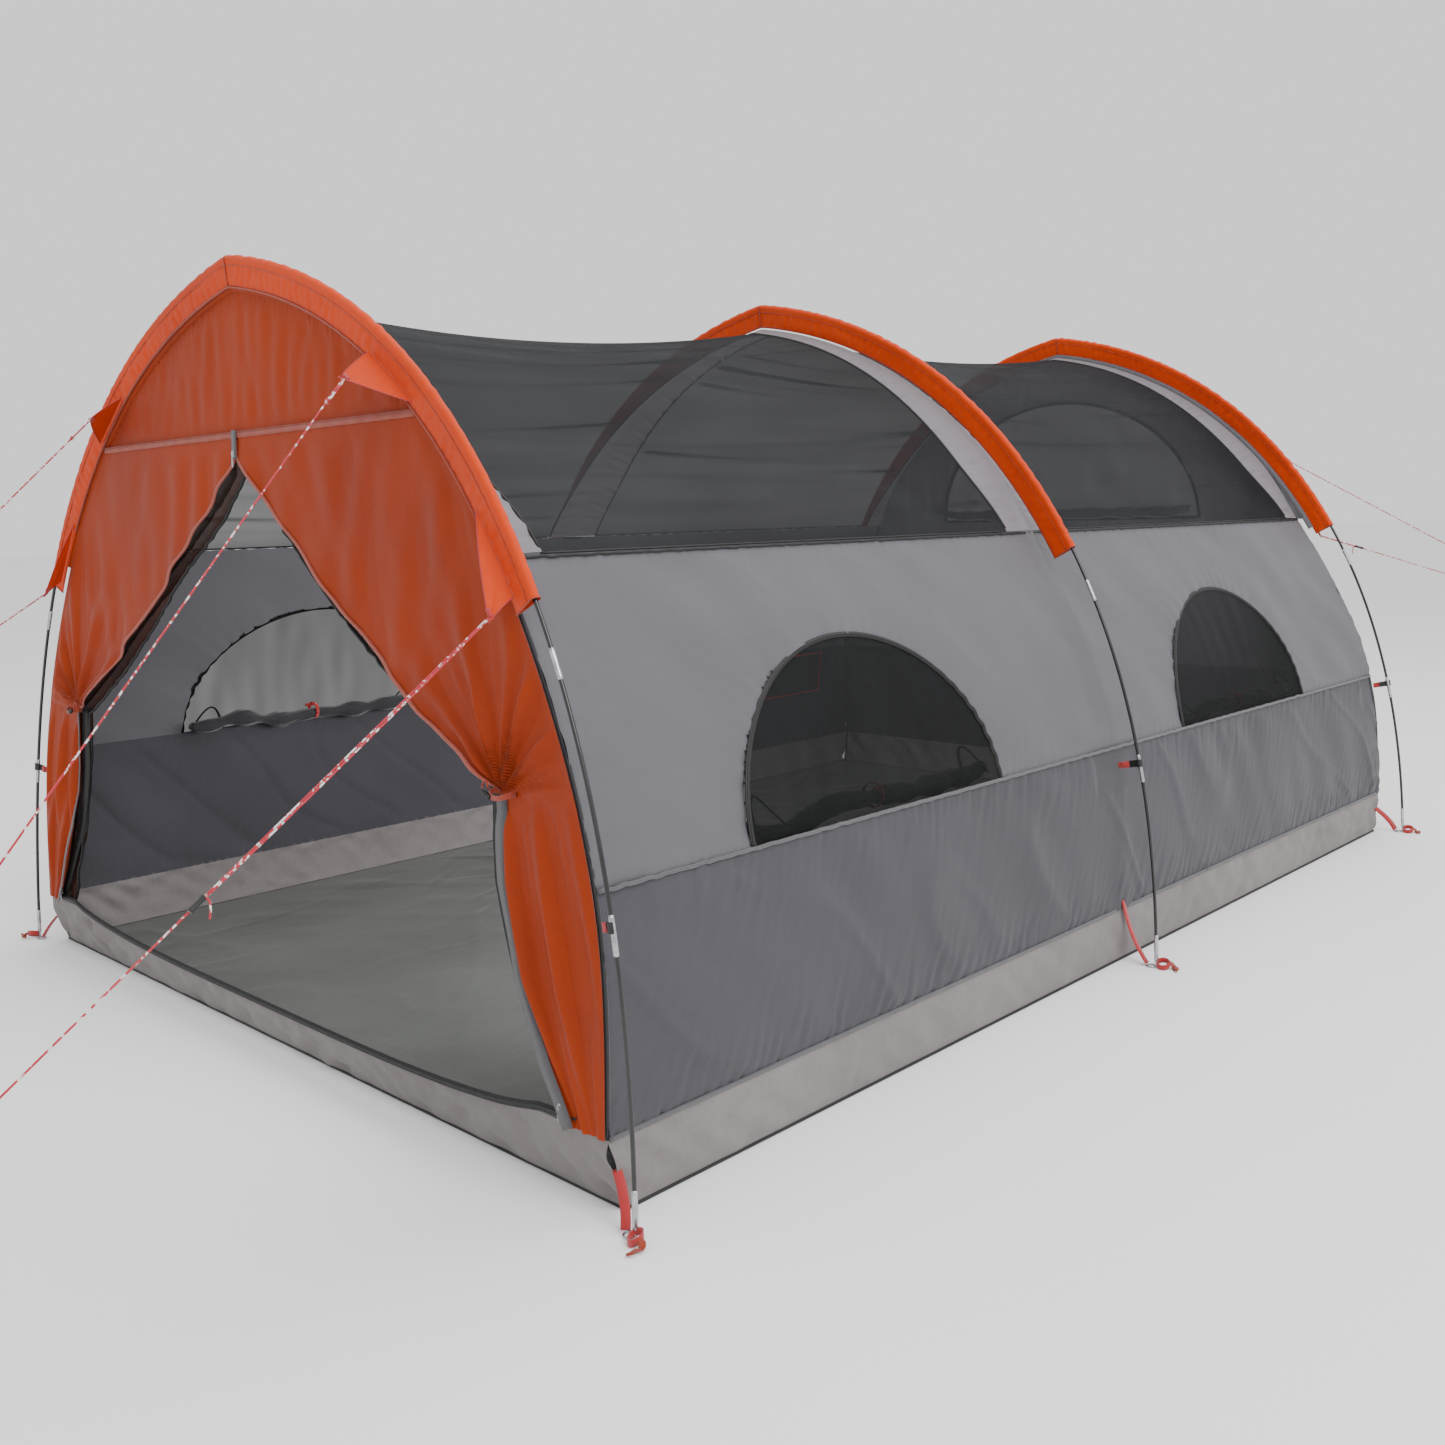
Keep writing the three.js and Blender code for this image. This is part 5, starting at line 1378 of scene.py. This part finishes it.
for name, (line, along, travel) in RUNNERS.items():
    start, _, direction = route(line)
    across = across_of(direction)
    up = np.cross(direction, across)
    centre = start + direction * along
    k = np.linspace(-1, 1, 15)
    waist = 1 - 0.18 * (1 - k ** 2)
    angles = np.linspace(0, 2 * math.pi, 20, endpoint=False)
    rounded = [np.sign(wave) * np.abs(wave) ** 0.6 for wave in (np.cos(angles), np.sin(angles))]
    rings = [centre + direction * q * 0.0168 + across * (rounded[0] * 0.0078 * w)[:, None]
             + up * (rounded[1] * 0.0046 * w)[:, None] for q, w in zip(k, waist)]
    faces = [(i * 20 + j, i * 20 + (j + 1) % 20, (i + 1) * 20 + (j + 1) % 20, (i + 1) * 20 + j)
             for i in range(14) for j in range(20)]
    faces += [tuple(range(20))[::-1], tuple(14 * 20 + j for j in range(20))]
    piece(f"{name}_block", np.concatenate(rings), faces, "clip_plastic", body=name, replaces=[name])


def slider_parts(x, z, standoff):
    """A zip slider: two bowed plates joined by a neck, with a bridge for the tab."""
    y = float(front_y(z)) - standoff
    k = np.linspace(0, 1, 12)
    widths = 0.0062 - 0.0016 * k
    parts = []
    for off in (-0.0018, 0.0018):
        path = joined(x, y + off, z - 0.0075 + 0.0165 * k)
        parts.append(tube_mesh(path, widths, 14, 0.16, start=(0, 1, 0)))
    bridge = np.linspace(0, math.pi, 14)
    path = joined(x, y - 0.0024 - 0.0030 * np.sin(bridge), z + 0.001 + 0.006 * np.cos(bridge))
    parts.append(tube_mesh(path, 0.0011, 8))
    return parts


def tab_parts(x, z, standoff):
    """The pull tab: a flat loop that hangs from the bridge."""
    y = float(front_y(z)) - standoff
    ring = np.linspace(0, 2 * math.pi, 41)
    path = np.stack([x + 0.0034 * np.sin(ring) * (1.0 - 0.25 * np.cos(ring)), y + 0 * ring,
                     z - 0.0145 + 0.0135 * np.cos(ring)], -1)
    blade = joined(x, y, np.linspace(z - 0.027, z - 0.012, 6))
    return [tube_mesh(path, 0.0009, 8), ribbon_mesh(blade, (1, 0, 0), 0.0050, 0.0014)]


piece("door_zip_slider", *gather(slider_parts(0.0, DOOR_PEAK_Z + 0.008, 0.014)), "steel", body="door_slider",
      replaces=["zip_slider_door"])
piece("door_zip_tab", *gather(tab_parts(0.0, DOOR_PEAK_Z + 0.004, 0.0183)), "steel", body="door_tab",
      replaces=["zip_tab_door"])
for side_name, side in SIDES.items():
    parts = slider_parts(side * 1.262, 0.196, 0.015) + tab_parts(side * 1.262, 0.197, 0.0186)
    piece(f"sill_zip_slider_{side_name}", *gather(parts), "steel", body=f"sill_slider_{side_name}",
          replaces=[f"zip_slider_sill_{side_name}"])

# ---- Stage, light ------------------------------------------------------------

floor_mesh = bpy.data.meshes.new("studio_floor")
reach = 90.0
floor_mesh.from_pydata([(-reach, -reach, 0), (reach, -reach, 0), (reach, reach, 0), (-reach, reach, 0)], [],
                       [(0, 1, 2, 3)])
floor = bpy.data.objects.new("studio_floor", floor_mesh)
floor.location.z = -0.0005
bpy.context.scene.collection.objects.link(floor)
floor_look = Look("studio_paper", 0.9, specular=0.1)
paper = floor_look.noise(0.4)
floor_look.colour(floor_look.mix(paper, linear("F4F4F4"), linear("FAFAFA")))
floor_mesh.materials.append(floor_look.material)

world = bpy.data.worlds.new("studio")
world.use_nodes = True
world.node_tree.nodes["Background"].inputs["Color"].default_value = (1.0, 1.0, 1.0, 1)
world.node_tree.nodes["Background"].inputs["Strength"].default_value = 1.1
bpy.context.scene.world = world


def area_light(name, at, aim, size, power):
    data = bpy.data.lights.new(name, "AREA")
    data.shape = "RECTANGLE"
    data.size, data.size_y = size
    data.energy = power
    lamp = bpy.data.objects.new(name, data)
    lamp.location = at
    lamp.visible_camera = False
    lamp.visible_glossy = not name.startswith("inside")
    lamp.rotation_mode = "QUATERNION"
    lamp.rotation_quaternion = (Vector(aim) - Vector(at)).to_track_quat("-Z", "Y")
    bpy.context.scene.collection.objects.link(lamp)


area_light("key", (7.5, -2.0, 7.0), (0, 0, 0.8), (6, 5), 620)
area_light("top", (0.5, 1.5, 8.5), (0, 0, 0.5), (6, 8), 300)
area_light("inside_roof", (0, 0, 1.50), (0, 0, 0), (0.8, 3.2), 8)
area_light("inside_right", (0.95, 0, 1.00), (-1.3, 0, 0.55), (3.4, 0.5), 75)
